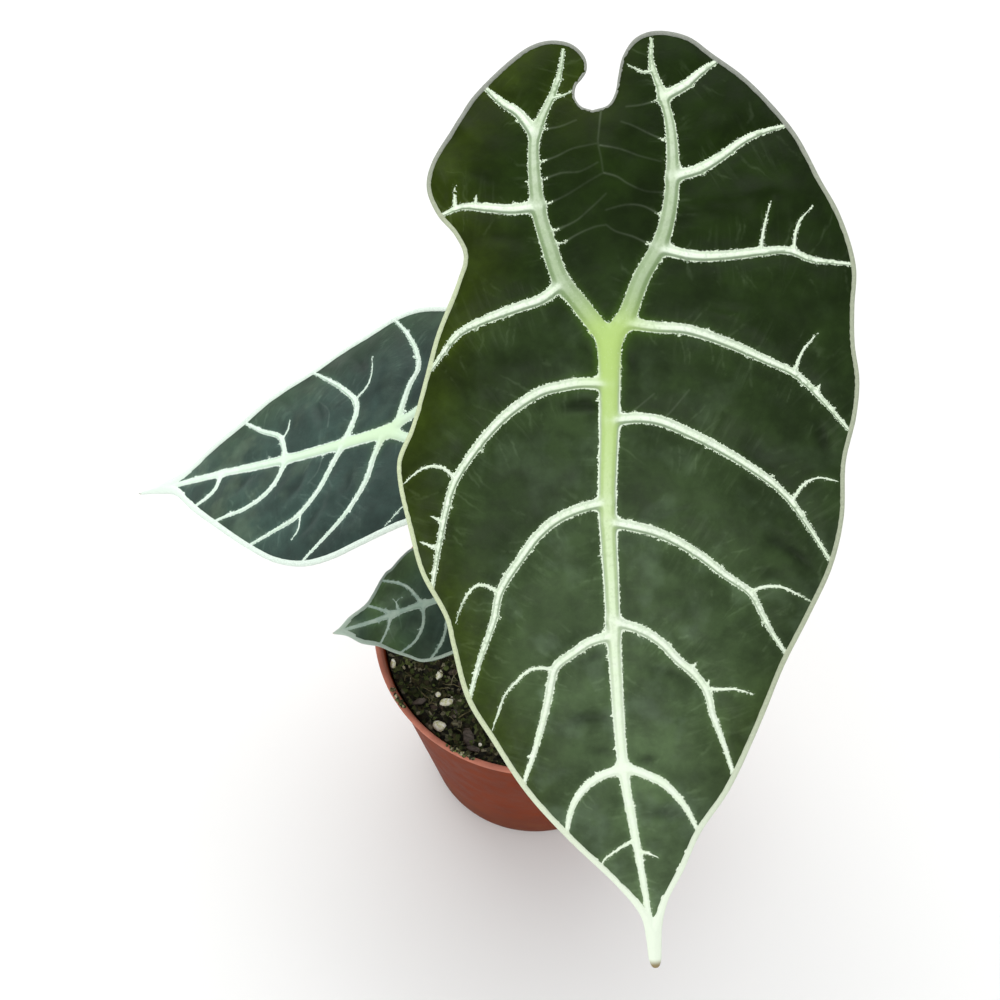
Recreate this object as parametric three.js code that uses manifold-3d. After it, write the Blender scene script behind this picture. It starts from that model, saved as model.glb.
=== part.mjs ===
// Potted alocasia watsoniana: three arrow-shaped leaves on their petioles, a short crown, potting soil
// and a plain tapered nursery pot. Millimetres, +Z up. The origin is the middle of the pot's flat
// underside, and the plant is seen from the front along +Y.

import * as THREE from "three";
import { mergeVertices } from "three/addons/utils/BufferGeometryUtils.js";
import Module from "manifold-3d";

const wasm = await Module();
wasm.setup();

// Clearance between pieces that rest on each other
const SEAT_GAP = 0.3;

// Pot: a 105 mm nursery pot
const POT_HEIGHT = 85;
const POT_RIM_RADIUS = 52.5;
const POT_BASE_RADIUS = 36;
const POT_WALL = 1.3;
const POT_FLOOR = 2.4;
const LIP_HEIGHT = 2.2;
const LIP_REACH = 1.2;
const POT_SEGMENTS = 56;
const DRAIN_HOLES = 6;
const DRAIN_RADIUS = 4;
const DRAIN_CIRCLE_RADIUS = 24;

// Soil: filled nearly to the rim, loose and crumbly on top
const SOIL_LEVEL = 79;
const SOIL_RINGS = 9;
const SOIL_SPOKES = 40;
const CRUMB_HEIGHT = 1.2;
const GRAIN_COUNT = 16;
const GRAIN_RADIUS = 2.4;
const SOIL_SEED = 7;

// Crown: the short stem that the petioles rise from
const CROWN_RADIUS = 11;
const CROWN_DEPTH = 20;
const CROWN_RISE = 8;

// Leaf sheet: the blade's thickness, and the pale net that lies on it
const BLADE_THICKNESS = 0.8;
const NET_THICKNESS = 0.6;
const RIDGE_SHARE = 0.3;
const KEEL_SHARE = 0.8;
const CURVE_SAMPLES = 400;
const SPINE_STEP = 9;
const TIP_STEPS = 3;
const LOBE_FADE = 2;

// Petioles: how finely their tubes are cut
const STEM_SIDES = 10;
const STEM_STEPS = 14;

// Each leaf is drawn flat, as [across, along] from the point where the petiole meets the blade, with
// along running to the tip. Its sides are right and left of a leaf that points at the viewer.
// heading, dip and bank are degrees, and widths are taken at the petiole and at the far end.
const LARGE_LEAF = {
  name: "leaf_large",
  attach: [15, -12, 253],
  heading: 5,
  dip: 32,
  bank: -6,
  droop: 0.0012,
  arch: 0.001,
  pillow: 1.5,
  ripple: 1.6,
  ripples: 4,
  rimWidth: 2.2,
  midribWidths: [5.4, 1.6],
  backRibWidths: [4.2, 2],
  lateralWidths: [2.4, 1.2],
  dripTip: 13,
  cellsAlongRib: 7,
  cellsInNotch: 2,
  rimStep: 13,
  midrib: [
    [0, 0], [-1.5, 20], [-3.5, 40], [-4, 60], [-4.5, 80], [-4.5, 108], [-3, 124], [-1, 145], [0, 163],
  ],
  sides: [
    {
      side: 1,
      outline: [
        [0, -58], [4, -59], [6, -62], [7, -66], [8.5, -71], [12, -75.5], [17, -77], [25, -75], [31, -70],
        [38, -64], [44, -57], [50, -48], [55, -36], [59, -27], [62, -14], [61, -4], [60.5, 5], [61, 14],
        [59.5, 23], [56, 34], [54.5, 48], [51, 60], [45, 71.5], [37.5, 84.5], [31.5, 97], [22, 115],
        [14, 126], [9, 136], [4.5, 144], [2.4, 151], [1.7, 157], [0, 163],
      ],
      backRib: [[0, 0], [3.5, -5], [8, -15], [13.5, -23], [16.5, -30], [18.5, -39], [19, -52], [17.5, -61],
        [15.5, -69], [16, -75]],
      shoulder: [[18, -44], [4.5, -59.5]],
      laterals: [
        [[18, -60], [23.5, -62.5], [27.5, -65.5], [32.5, -68.5]],
        [[18.5, -39.5], [25.5, -41], [30.5, -43.5], [37, -47.5], [42, -49.3], [48, -50.5]],
        [[13, -21], [22.5, -19.4], [32, -19], [39.5, -19.3], [46, -19], [50.7, -16.6], [61, -14.5]],
        [[3.5, -4], [12, -2.5], [18.5, -1.6], [25.5, 1], [32.5, 4.4], [39, 8], [45, 11.3], [49.5, 16],
          [58, 27]],
        [[-1.5, 19.5], [6, 19.5], [11, 20.6], [19, 24.7], [26, 29], [32.5, 33.7], [38, 38.3], [42, 43],
          [45, 48], [51, 59]],
        [[-3.5, 44.5], [8, 48], [13.5, 51], [19, 55], [24.5, 60], [30.5, 65], [33, 70.5], [35.5, 76],
          [39, 82]],
        [[-4.4, 69.5], [2.7, 72.3], [7.6, 76], [11.3, 80.6], [15, 84.2], [17.8, 88.8], [19, 95.3],
          [21, 102], [23.5, 112]],
        [[-4.5, 107], [2, 110], [5.5, 112.2], [9.2, 116.7], [11.3, 120.4], [13.5, 126]],
      ],
    },
    {
      side: -1,
      outline: [
        [0, -58], [-2.4, -59.5], [-3.2, -62], [-3, -65], [-2.3, -68], [-2.2, -71], [-3.8, -75], [-9, -77],
        [-14, -76], [-20, -72.5], [-30, -64], [-34, -58.5], [-41, -48.5], [-42.7, -42], [-40.5, -35],
        [-36.5, -29.5], [-34.5, -24], [-36.5, -18], [-43, -5], [-47, 6], [-51, 17], [-55, 25],
        [-55.3, 31], [-53.5, 43], [-51.5, 54], [-46.5, 66], [-45.5, 73], [-43, 87], [-37, 99],
        [-30, 112], [-20.5, 125], [-7.5, 140.5], [-2.9, 148], [-1.8, 155], [0, 163],
      ],
      backRib: [[0, 0], [-2.5, -3.5], [-6.5, -9.5], [-11, -16.5], [-13, -24], [-15, -33], [-15.5, -40],
        [-14.7, -50], [-13.5, -57], [-11, -63], [-9, -69], [-8, -76]],
      shoulder: [[-15, -37], [-1.5, -58.5]],
      laterals: [
        [[-14, -54.5], [-18.7, -59.2], [-22, -61.6], [-27, -67]],
        [[-15, -35], [-21.5, -34.7], [-28, -35.6], [-34, -36.4], [-40, -34.5]],
        [[-11, -15], [-16, -11.7], [-21, -10.4], [-28, -8.5], [-34.5, -6.3], [-38, -4.3], [-45, 3.5]],
        [[-0.8, 10.5], [-8, 9.8], [-12.7, 10.2], [-17.5, 11], [-22.6, 13.4], [-27.6, 16.7],
          [-32.2, 20.8], [-36.3, 25.3], [-41.5, 32.5], [-45, 42.7], [-49.5, 60]],
        [[-3.4, 39.5], [-11.2, 41], [-16.7, 43.2], [-21.7, 47], [-26, 52], [-30, 57], [-32.4, 61],
          [-34, 66.7], [-39, 78.2], [-42.5, 88]],
        [[-4.4, 73], [-10.6, 74.4], [-14.5, 76.7], [-19.6, 80.2], [-21, 84], [-22.3, 89], [-26, 99.8],
          [-31, 112]],
        [[-4.5, 107.5], [-10, 109], [-14, 111.4], [-17.3, 115.2], [-19.2, 119.4], [-20.5, 125.5]],
      ],
    },
  ],
  petiole: { path: [[4.5, 1.5, 63], [5, 5, 90], [9, 15, 150], [14, 11, 215]], radii: [4.6, 2.7] },
};

const MEDIUM_LEAF = {
  name: "leaf_medium",
  attach: [-43.5, 6.3, 185.6],
  heading: -102,
  dip: 31,
  bank: 8,
  droop: 0.0007,
  arch: 0.001,
  pillow: 1.1,
  ripple: 1,
  ripples: 3,
  rimWidth: 1.7,
  midribWidths: [3.8, 1.3],
  backRibWidths: [2.8, 1.4],
  lateralWidths: [1.7, 0.9],
  dripTip: 10,
  cellsAlongRib: 5,
  cellsInNotch: 2,
  rimStep: 12,
  midrib: [[0, 0], [1.5, 15], [3, 36], [3, 65], [3, 85], [2.5, 99]],
  sides: [
    {
      side: 1,
      outline: [
        [0, -31], [2.5, -33], [4, -38], [8, -43], [15, -41], [22, -33], [27, -22], [29.7, -10],
        [34.4, 3], [37, 12], [37.6, 22.5], [34.7, 35], [29.3, 46], [20.8, 60], [13.8, 71], [6, 82],
        [4, 90], [2.5, 99],
      ],
      backRib: [[0, 0], [4, -9], [8.5, -18], [11, -27], [10.5, -36], [10, -42]],
      shoulder: [[10.5, -24], [3, -34]],
      laterals: [
        [[9, -20], [16, -19.5], [22, -18], [28, -16]],
        [[1, 1], [8, 3.3], [14, 4.3], [18.9, 6.5], [24.8, 10.4], [29.3, 14.9], [36.5, 24]],
        [[1.7, 15], [8.2, 18.2], [14.4, 21], [18.5, 24.2], [22.5, 28.5], [25.2, 35.5], [29, 46]],
        [[3, 36], [10, 38.8], [14, 43], [16.8, 49.4], [18.2, 56.3], [19.5, 62]],
        [[3.2, 62], [8, 63.4], [10.4, 66.5], [12.5, 72]],
      ],
    },
    {
      side: -1,
      outline: [
        [0, -31], [-3, -34], [-5, -40], [-10, -45], [-19, -44], [-29, -36], [-36, -24], [-39, -11],
        [-39.8, -3], [-38.5, 5], [-35.2, 14], [-32, 23.6], [-27, 33.3], [-20.4, 46.5], [-13.3, 57],
        [-7.4, 68.4], [-1, 79], [1.3, 88], [2.5, 99],
      ],
      backRib: [[0, 0], [-5, -9], [-10, -18], [-12.5, -28], [-12, -37], [-11.5, -44]],
      shoulder: [[-12, -25], [-4, -36]],
      laterals: [
        [[-11, -21], [-19, -22], [-27, -22], [-36, -21]],
        [[-2, -3], [-13.7, -4.8], [-19.3, -6.8], [-25.7, -4.7], [-32.4, 0], [-38.5, 6]],
        [[0.5, 15], [-3.8, 13.5], [-7.9, 12.6], [-11.6, 13.4], [-17.5, 19.9], [-21.9, 26.6],
          [-26.5, 34.5]],
        [[3, 37], [-0.6, 37.8], [-5, 40.4], [-8.5, 48.5], [-13.5, 57.5]],
      ],
    },
  ],
  petiole: { path: [[-5, 3, 63], [-7, 6, 90], [-17, 16, 135], [-31, 18, 165]], radii: [3.8, 2] },
};

const SMALL_LEAF = {
  name: "leaf_small",
  attach: [-28, -5.7, 112],
  heading: -90,
  dip: 26,
  bank: 8,
  droop: 0.002,
  arch: 0.003,
  pillow: 0.6,
  ripple: 0.6,
  ripples: 2,
  rimWidth: 1.1,
  midribWidths: [2.2, 1],
  backRibWidths: [1.7, 1],
  lateralWidths: [1.2, 0.8],
  dripTip: 5,
  cellsAlongRib: 4,
  cellsInNotch: 2,
  rimStep: 9,
  midrib: [[0, 0], [0.3, 13], [0.9, 20], [1.3, 28], [1.2, 36], [1, 43]],
  sides: [
    {
      side: 1,
      outline: [
        [0, -13], [2, -15], [4, -19], [8, -20], [13, -17], [16, -10], [17.5, -1], [18.6, 6],
        [18.2, 11], [16, 15], [13, 20.6], [9.6, 26], [6.9, 32.5], [3, 38], [1, 43],
      ],
      backRib: [[0, 0], [2.5, -5], [5, -10], [6, -15], [7, -19]],
      shoulder: [[5.5, -11], [2.5, -15.5]],
      laterals: [
        [[0, 1], [6, 0], [11.6, 2.2], [18, 6]],
        [[0.3, 8], [7, 9.2], [10.3, 12], [14, 18.5]],
        [[0.9, 19], [5.2, 22.2], [10.5, 25]],
      ],
    },
    {
      side: -1,
      outline: [
        [0, -13], [-2.5, -15], [-4.5, -19], [-9, -20.5], [-15, -17], [-19.5, -8], [-21.5, 3],
        [-19.7, 13], [-17, 17], [-13.8, 22], [-8.7, 26.5], [-5.4, 30], [-3.2, 34], [-0.5, 38.5], [1, 43],
      ],
      backRib: [[0, 0], [-3, -5], [-6, -10], [-7.5, -15], [-8, -19.5]],
      shoulder: [[-6.5, -11], [-3, -15.5]],
      laterals: [
        [[-0.5, 0.5], [-7, 0], [-14, 3], [-20, 9]],
        [[0, 8.5], [-2.5, 10.4], [-7, 13.5], [-9.5, 17.9], [-12.5, 23.5]],
        [[0.9, 19.5], [-2, 23.5], [-5, 30]],
      ],
    },
  ],
  petiole: { path: [[0, -6, 66], [-3, -6.5, 82], [-12, -7.5, 95], [-21, -6, 104]], radii: [2.8, 1.4] },
};

const LEAVES = [LARGE_LEAF, MEDIUM_LEAF, SMALL_LEAF];

// Finishes, with the colours that the pieces have in the photograph
const finish = (color, roughness) => new THREE.MeshStandardMaterial({ color, roughness, metalness: 0 });
const POT_FINISH = finish(0x8a4a38, 0.55);
const SOIL_FINISH = finish(0x2b231a, 0.95);
const CROWN_FINISH = finish(0x6b5a44, 0.8);
const PETIOLE_FINISH = finish(0x6f7a4a, 0.5);
const BLADE_FINISH = finish(0x37502c, 0.4);
const NET_FINISH = finish(0xd8efc6, 0.5);

// A closed mesh as a solid for cutting and joining
function solidOf(geometry) {
  const bare = geometry.index ? geometry.toNonIndexed() : geometry.clone();
  bare.deleteAttribute("normal");
  bare.deleteAttribute("uv");
  const merged = mergeVertices(bare, 1e-4);
  return new wasm.Manifold(new wasm.Mesh({
    numProp: 3,
    vertProperties: merged.attributes.position.array,
    triVerts: new Uint32Array(merged.index.array),
  }));
}

function geometryOf(solid) {
  const mesh = solid.getMesh();
  const geometry = new THREE.BufferGeometry();
  geometry.setAttribute("position", new THREE.BufferAttribute(new Float32Array(mesh.vertProperties), 3));
  geometry.setIndex(new THREE.BufferAttribute(new Uint32Array(mesh.triVerts), 1));
  return geometry;
}

function geometryFromTriangles(triangles) {
  const values = triangles.flat().flatMap((corner) => [corner.x, corner.y, corner.z]);
  const geometry = new THREE.BufferGeometry();
  geometry.setAttribute("position", new THREE.Float32BufferAttribute(values, 3));
  return mergeVertices(geometry, 1e-4);
}

function pieceMesh(name, geometry, material) {
  geometry.computeVertexNormals();
  const mesh = new THREE.Mesh(geometry, material);
  mesh.name = name;
  return mesh;
}

// A repeatable random source between 0 and 1
function seededRandom(seed) {
  let state = seed;
  return () => {
    state = (state * 1664525 + 1013904223) % 4294967296;
    return state / 4294967296;
  };
}

// Pot: one turned wall with a rolled lip, and a ring of drain holes in its floor
function potWallRadius(height) {
  return THREE.MathUtils.mapLinear(height, 0, POT_HEIGHT, POT_BASE_RADIUS, POT_RIM_RADIUS - LIP_REACH);
}

function makePot() {
  const lipFoot = POT_HEIGHT - LIP_HEIGHT;
  const rimInside = potWallRadius(POT_HEIGHT) - POT_WALL;
  const profile = [
    [0, 0],
    [POT_BASE_RADIUS - 1.5, 0],
    [potWallRadius(1.5), 1.5],
    [potWallRadius(lipFoot), lipFoot],
    [POT_RIM_RADIUS - 0.3, lipFoot + 0.8],
    [POT_RIM_RADIUS, POT_HEIGHT - 1],
    [POT_RIM_RADIUS - 0.9, POT_HEIGHT],
    [rimInside + 0.6, POT_HEIGHT],
    [rimInside, POT_HEIGHT - 1],
    [potWallRadius(POT_FLOOR) - POT_WALL, POT_FLOOR],
    [0, POT_FLOOR],
  ];
  const points = profile.map(([radius, height]) => new THREE.Vector2(radius, height));
  const wall = new THREE.LatheGeometry(points, POT_SEGMENTS).rotateX(Math.PI / 2);
  let pot = solidOf(wall);
  for (let hole = 0; hole < DRAIN_HOLES; hole += 1) {
    const angle = (hole / DRAIN_HOLES) * 2 * Math.PI;
    const drill = new THREE.CylinderGeometry(DRAIN_RADIUS, DRAIN_RADIUS, 4 * POT_FLOOR, 16)
      .rotateX(Math.PI / 2)
      .translate(DRAIN_CIRCLE_RADIUS * Math.cos(angle), DRAIN_CIRCLE_RADIUS * Math.sin(angle), 0);
    pot = pot.subtract(solidOf(drill));
  }
  return pieceMesh("pot", geometryOf(pot), POT_FINISH);
}

// Crown: a stub with a rounded top, grown wider by extra where it cuts its own hole in the soil
function crownGeometry(extra) {
  const bottom = SOIL_LEVEL - CROWN_DEPTH - extra;
  const shoulder = SOIL_LEVEL + CROWN_RISE * 0.4;
  const radius = CROWN_RADIUS + extra;
  const profile = [
    [0, bottom],
    [radius * 0.7, bottom],
    [radius, bottom + 6],
    [radius * 0.95, shoulder],
    [radius * 0.7, shoulder + CROWN_RISE * 0.4],
    [0, SOIL_LEVEL + CROWN_RISE + extra],
  ];
  const points = profile.map(([across, height]) => new THREE.Vector2(across, height));
  return new THREE.LatheGeometry(points, 20).rotateX(Math.PI / 2);
}

// Soil: a crumbly surface on a plug that fills the pot, with grains bedded in it
function makeSoil() {
  const random = seededRandom(SOIL_SEED);
  const bottom = POT_FLOOR + SEAT_GAP;
  const clear = POT_WALL + SEAT_GAP + 0.1;
  const topRadius = potWallRadius(SOIL_LEVEL - CRUMB_HEIGHT) - clear;
  const bottomRadius = potWallRadius(bottom) - clear;
  const spot = (radius, spoke, height) => {
    const angle = (spoke / SOIL_SPOKES) * 2 * Math.PI;
    return new THREE.Vector3(radius * Math.cos(angle), radius * Math.sin(angle), height);
  };
  const rings = [];
  for (let ring = 1; ring <= SOIL_RINGS; ring += 1) {
    const radius = (ring / SOIL_RINGS) * topRadius;
    rings.push(Array.from({ length: SOIL_SPOKES }, (_, spoke) => {
      const crumb = ring === SOIL_RINGS ? -random() : 2 * random() - 1;
      return spot(radius, spoke, SOIL_LEVEL + CRUMB_HEIGHT * crumb);
    }));
  }
  rings.push(Array.from({ length: SOIL_SPOKES }, (_, spoke) => spot(bottomRadius, spoke, bottom)));
  const top = new THREE.Vector3(0, 0, SOIL_LEVEL);
  const base = new THREE.Vector3(0, 0, bottom);
  const triangles = [];
  for (let spoke = 0; spoke < SOIL_SPOKES; spoke += 1) {
    const next = (spoke + 1) % SOIL_SPOKES;
    triangles.push([top, rings[0][spoke], rings[0][next]]);
    for (let ring = 1; ring < rings.length; ring += 1) {
      const inner = rings[ring - 1];
      const outer = rings[ring];
      triangles.push([inner[spoke], outer[spoke], outer[next]], [inner[spoke], outer[next], inner[next]]);
    }
    triangles.push([base, rings.at(-1)[next], rings.at(-1)[spoke]]);
  }
  let soil = solidOf(geometryFromTriangles(triangles));
  for (let grain = 0; grain < GRAIN_COUNT; grain += 1) {
    const angle = random() * 2 * Math.PI;
    const radius = THREE.MathUtils.lerp(CROWN_RADIUS + 6, topRadius - GRAIN_RADIUS - 1, random());
    const lump = new THREE.IcosahedronGeometry(GRAIN_RADIUS * (0.6 + 0.5 * random()), 0)
      .scale(1, 0.8, 0.8)
      .rotateZ(angle * 3)
      .translate(radius * Math.cos(angle), radius * Math.sin(angle), SOIL_LEVEL);
    soil = soil.add(solidOf(lump));
  }
  return pieceMesh("soil", geometryOf(soil.subtract(solidOf(crownGeometry(SEAT_GAP)))), SOIL_FINISH);
}

// A stem along a curve that thins from its foot to its top
function stemGeometry(points, radii, extra = 0) {
  const curve = new THREE.CatmullRomCurve3(points);
  const frames = curve.computeFrenetFrames(STEM_STEPS, false);
  const rings = [];
  for (let step = 0; step <= STEM_STEPS; step += 1) {
    const share = step / STEM_STEPS;
    const centre = curve.getPointAt(share);
    const radius = THREE.MathUtils.lerp(radii[0], radii[1], Math.sqrt(share)) + extra;
    rings.push(Array.from({ length: STEM_SIDES }, (_, corner) => {
      const angle = (corner / STEM_SIDES) * 2 * Math.PI;
      return centre.clone()
        .addScaledVector(frames.normals[step], radius * Math.cos(angle))
        .addScaledVector(frames.binormals[step], radius * Math.sin(angle));
    }));
  }
  const triangles = [];
  for (let corner = 0; corner < STEM_SIDES; corner += 1) {
    const next = (corner + 1) % STEM_SIDES;
    for (let step = 0; step < STEM_STEPS; step += 1) {
      const [low, high] = [rings[step], rings[step + 1]];
      triangles.push([low[corner], low[next], high[next]], [low[corner], high[next], high[corner]]);
    }
    triangles.push([curve.getPointAt(0), rings[0][next], rings[0][corner]]);
    triangles.push([curve.getPointAt(1), rings[STEM_STEPS][corner], rings[STEM_STEPS][next]]);
  }
  return geometryFromTriangles(triangles);
}

// A point of the flat leaf: across, along, its lift off the smooth leaf surface, and how far a rib
// stands out of the sheet there
class LeafPoint extends THREE.Vector3 {
  constructor(across, along, lift = 0, ridge = 0) {
    super(across, along, lift);
    this.ridge = ridge;
  }
}

function curveThrough(pairs) {
  const points = pairs.map(([across, along]) => new THREE.Vector3(across, along, 0));
  return new THREE.CatmullRomCurve3(points, false, "centripetal");
}

// Where along a curve, from 0 to 1, it comes closest to a point
function placeOn(curve, [across, along]) {
  const target = new THREE.Vector3(across, along, 0);
  let best = 0;
  let shortest = Infinity;
  for (let sample = 0; sample <= CURVE_SAMPLES; sample += 1) {
    const distance = curve.getPointAt(sample / CURVE_SAMPLES).distanceTo(target);
    if (distance < shortest) {
      shortest = distance;
      best = sample / CURVE_SAMPLES;
    }
  }
  return best;
}

// A point beside a curve, to its right for a positive distance
function beside(curve, share, distance, lift = 0, ridge = 0) {
  const point = curve.getPointAt(share);
  const way = curve.getTangentAt(share);
  return new LeafPoint(point.x + way.y * distance, point.y - way.x * distance, lift, ridge);
}

// Even steps from one value to another, both included
function stepsBetween(from, to, count) {
  return Array.from({ length: count + 1 }, (_, step) => THREE.MathUtils.lerp(from, to, step / count));
}

// The triangles of a strip between two lines of points, always closing the shorter diagonal
function zip(lineA, lineB) {
  const triangles = [];
  let a = 0;
  let b = 0;
  while (a < lineA.length - 1 || b < lineB.length - 1) {
    const nextA = a < lineA.length - 1 ? lineA[a + 1].distanceTo(lineB[b]) : Infinity;
    const nextB = b < lineB.length - 1 ? lineA[a].distanceTo(lineB[b + 1]) : Infinity;
    if (nextA <= nextB) {
      triangles.push([lineA[a], lineA[a + 1], lineB[b]]);
      a += 1;
    } else {
      triangles.push([lineA[a], lineB[b], lineB[b + 1]]);
      b += 1;
    }
  }
  return triangles;
}

// A patch of triangles between two lines that run out to the margin, and the two that join their
// ends. It swells by pillow in its middle, and its middle line can stand out as a rib.
function patch(first, last, start, end, pillow, fade = 1, ridges = null) {
  const rows = start.length - 1;
  const columns = first.length - 1;
  const grid = start.map((_, row) => first.map((_, column) => {
    if (row === 0) return first[column];
    if (row === rows) return last[column];
    if (column === 0) return start[row];
    if (column === columns) return end[row];
    const f = row / rows;
    const t = column / columns;
    const nearStart = 1 - t;
    const nearEnd = t ** fade;
    const point = new LeafPoint(0, 0);
    point.addScaledVector(first[column], 1 - f).addScaledVector(last[column], f);
    point.addScaledVector(start[row], nearStart).addScaledVector(end[row], nearEnd);
    point.addScaledVector(first[0], -(1 - f) * nearStart).addScaledVector(last[0], -f * nearStart);
    point.addScaledVector(first[columns], -(1 - f) * nearEnd).addScaledVector(last[columns], -f * nearEnd);
    point.z += pillow * Math.sin(Math.PI * f) * Math.sqrt(Math.sin(Math.PI * t));
    point.ridge = ridges ? ridges[column] : 0;
    return point;
  }));
  const triangles = [];
  for (let row = 0; row < rows; row += 1) {
    for (let column = 0; column < columns; column += 1) {
      const [a, b] = [grid[row][column], grid[row][column + 1]];
      const [d, c] = [grid[row + 1][column], grid[row + 1][column + 1]];
      if (a.distanceTo(c) <= b.distanceTo(d)) triangles.push([a, b, c], [a, c, d]);
      else triangles.push([a, b, d], [b, c, d]);
    }
  }
  return triangles;
}

// The flat drawing of a leaf as triangles: green ones between the ribs, and pale ones on the ribs
// and round the margin. All of them share their corner points with their neighbours.
function drawLeaf(leaf) {
  const green = [];
  const pale = [];
  const { cellsAlongRib, cellsInNotch, rimWidth } = leaf;
  const widthAt = (widths, share) => THREE.MathUtils.lerp(widths[0], widths[1], share);
  const midrib = curveThrough(leaf.midrib);
  const midribLength = midrib.getLength();
  const tipStart = 1 - leaf.dripTip / midribLength;
  const tipBend = tipStart + 0.5 * leaf.rimWidth / midribLength;
  const midribSteps = Math.round((midribLength - leaf.dripTip) / SPINE_STEP);
  const crest = (widths, share) => RIDGE_SHARE * widthAt(widths, share);
  const onMidrib = (share) => beside(midrib, share, 0, 0, crest(leaf.midribWidths, share));
  const joint = onMidrib(0);
  const midribLine = [joint, ...stepsBetween(0, tipBend, midribSteps).slice(1).map(onMidrib)];
  const tip = beside(midrib, 1, 0);
  const tipPoints = stepsBetween(tipStart, 1, TIP_STEPS).slice(1, -1).map(onMidrib);
  const tipLine = [midribLine.at(-1), ...tipPoints, tip];
  const crotch = new LeafPoint(0, -0.9 * leaf.backRibWidths[0]);
  const notchBottom = leaf.sides[0].outline[0];
  const notchRim = new LeafPoint(...notchBottom);
  const notchInside = new LeafPoint(notchBottom[0], notchBottom[1] + rimWidth);
  const innerEdges = [];
  const notchEdges = [];

  for (const { side, outline, backRib, shoulder, laterals } of leaf.sides) {
    const margin = curveThrough(outline);
    const marginLength = margin.getLength();
    const back = curveThrough(backRib);
    const backLength = back.getLength();
    const spine = curveThrough([...backRib.slice(1).reverse(), ...leaf.midrib]);
    const spineLength = spine.getLength();
    const jointPlace = placeOn(spine, leaf.midrib[0]);

    const ripple = (place) => leaf.ripple * Math.sin(2 * Math.PI * leaf.ripples * place)
      * Math.sin(Math.PI * place);
    const rimPoints = new Map();
    const rimPoint = (place, ridge = 0) => {
      const inside = beside(margin, place, -side * rimWidth, ripple(place), ridge);
      rimPoints.set(inside, new LeafPoint(...margin.getPointAt(place).toArray()));
      rimPoints.get(inside).z = ripple(place);
      return inside;
    };
    const spineWidth = (place) => (place < jointPlace
      ? widthAt(leaf.backRibWidths, 1 - place / jointPlace)
      : widthAt(leaf.midribWidths, (place - jointPlace) / (1 - jointPlace)));
    const outerPoint = (place, ridge = 0) => beside(spine, place, (side * spineWidth(place)) / 2, 0, ridge);

    // The back rib's end on the margin, with a point on each side of it
    const lobePlace = placeOn(margin, backRib.at(-1));
    const lobeHalf = leaf.backRibWidths[1] / 2 / marginLength;
    const lobeInner = rimPoint(lobePlace - lobeHalf);
    const lobeMiddle = rimPoint(lobePlace, RIDGE_SHARE * leaf.backRibWidths[1]);
    const lobeOuter = rimPoint(lobePlace + lobeHalf);

    // Each lateral rib: three points where it leaves the spine, three at the margin, and its two edges
    const ribs = laterals.map((points) => {
      const leave = placeOn(spine, points[0]);
      const reach = placeOn(margin, points.at(-1));
      const [wide, narrow] = leaf.lateralWidths;
      const foot = [-1, 0, 1].map((step) => outerPoint(
        leave + (step * wide) / 2 / spineLength,
        step === 0 ? RIDGE_SHARE * wide : 0,
      ));
      const end = [-1, 0, 1].map((step) => rimPoint(
        reach + (step * narrow) / 2 / marginLength,
        step === 0 ? RIDGE_SHARE * narrow : 0,
      ));
      const line = curveThrough([
        [foot[1].x, foot[1].y],
        ...points.slice(1, -1),
        [end[1].x, end[1].y],
      ]);
      const edge = (sign) => stepsBetween(0, 1, cellsAlongRib).map((share, step) => {
        if (step === 0) return foot[1 - sign];
        if (step === cellsAlongRib) return end[1 - sign];
        const half = widthAt(leaf.lateralWidths, share) / 2;
        return beside(line, share, side * sign * half, end[1].z * share * share);
      });
      return { leave, reach, foot, end, upper: edge(1), lower: edge(-1) };
    });

    // The spine's outer edge and the inside of the rim, in one stretch for each panel between ribs
    const spineStretches = [];
    const rimStretches = [];
    const tipPoint = outerPoint(jointPlace + tipStart * (1 - jointPlace));
    const tipPlace = placeOn(margin, [tipPoint.x, tipPoint.y]);
    rimPoints.set(tipPoint, new LeafPoint(...margin.getPointAt(tipPlace).toArray()));
    const footHalf = leaf.lateralWidths[0] / 2 / spineLength;
    const endHalf = leaf.lateralWidths[1] / 2 / marginLength;
    for (let panel = 0; panel <= ribs.length; panel += 1) {
      const before = ribs[panel - 1];
      const after = ribs[panel];
      const rimFrom = before ? before.reach + endHalf : lobePlace + lobeHalf;
      const rimTo = after ? after.reach - endHalf : tipPlace;
      const rimCells = Math.max(2, Math.round(((rimTo - rimFrom) * marginLength) / leaf.rimStep));
      const rimInner = stepsBetween(rimFrom, rimTo, rimCells).slice(1, -1);
      rimStretches.push([
        before ? before.end[2] : lobeOuter,
        ...rimInner.map((place) => rimPoint(place)),
        after ? after.end[0] : tipPoint,
      ]);
      const spineFrom = before ? before.leave + footHalf : 0;
      const spineTo = after ? after.leave - footHalf : jointPlace + tipStart * (1 - jointPlace);
      const spineInner = stepsBetween(spineFrom, spineTo, before ? rimCells : cellsAlongRib).slice(1, -1);
      spineStretches.push([
        before ? before.foot[2] : lobeOuter,
        ...spineInner.map((place) => outerPoint(place)),
        after ? after.foot[0] : tipPoint,
      ]);
    }

    // Panels between the ribs
    green.push(...patch(
      spineStretches[0].toReversed(),
      ribs[0].upper,
      rimStretches[0].map(() => ribs[0].upper[0]),
      rimStretches[0],
      leaf.pillow,
    ));
    for (let panel = 1; panel < ribs.length; panel += 1) {
      green.push(...patch(
        ribs[panel - 1].lower,
        ribs[panel].upper,
        spineStretches[panel],
        rimStretches[panel],
        leaf.pillow,
      ));
    }
    green.push(...patch(
      ribs.at(-1).lower,
      ribs.at(-1).lower.map(() => tipPoint),
      spineStretches.at(-1),
      rimStretches.at(-1),
      leaf.pillow * 0.5,
    ));

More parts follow.
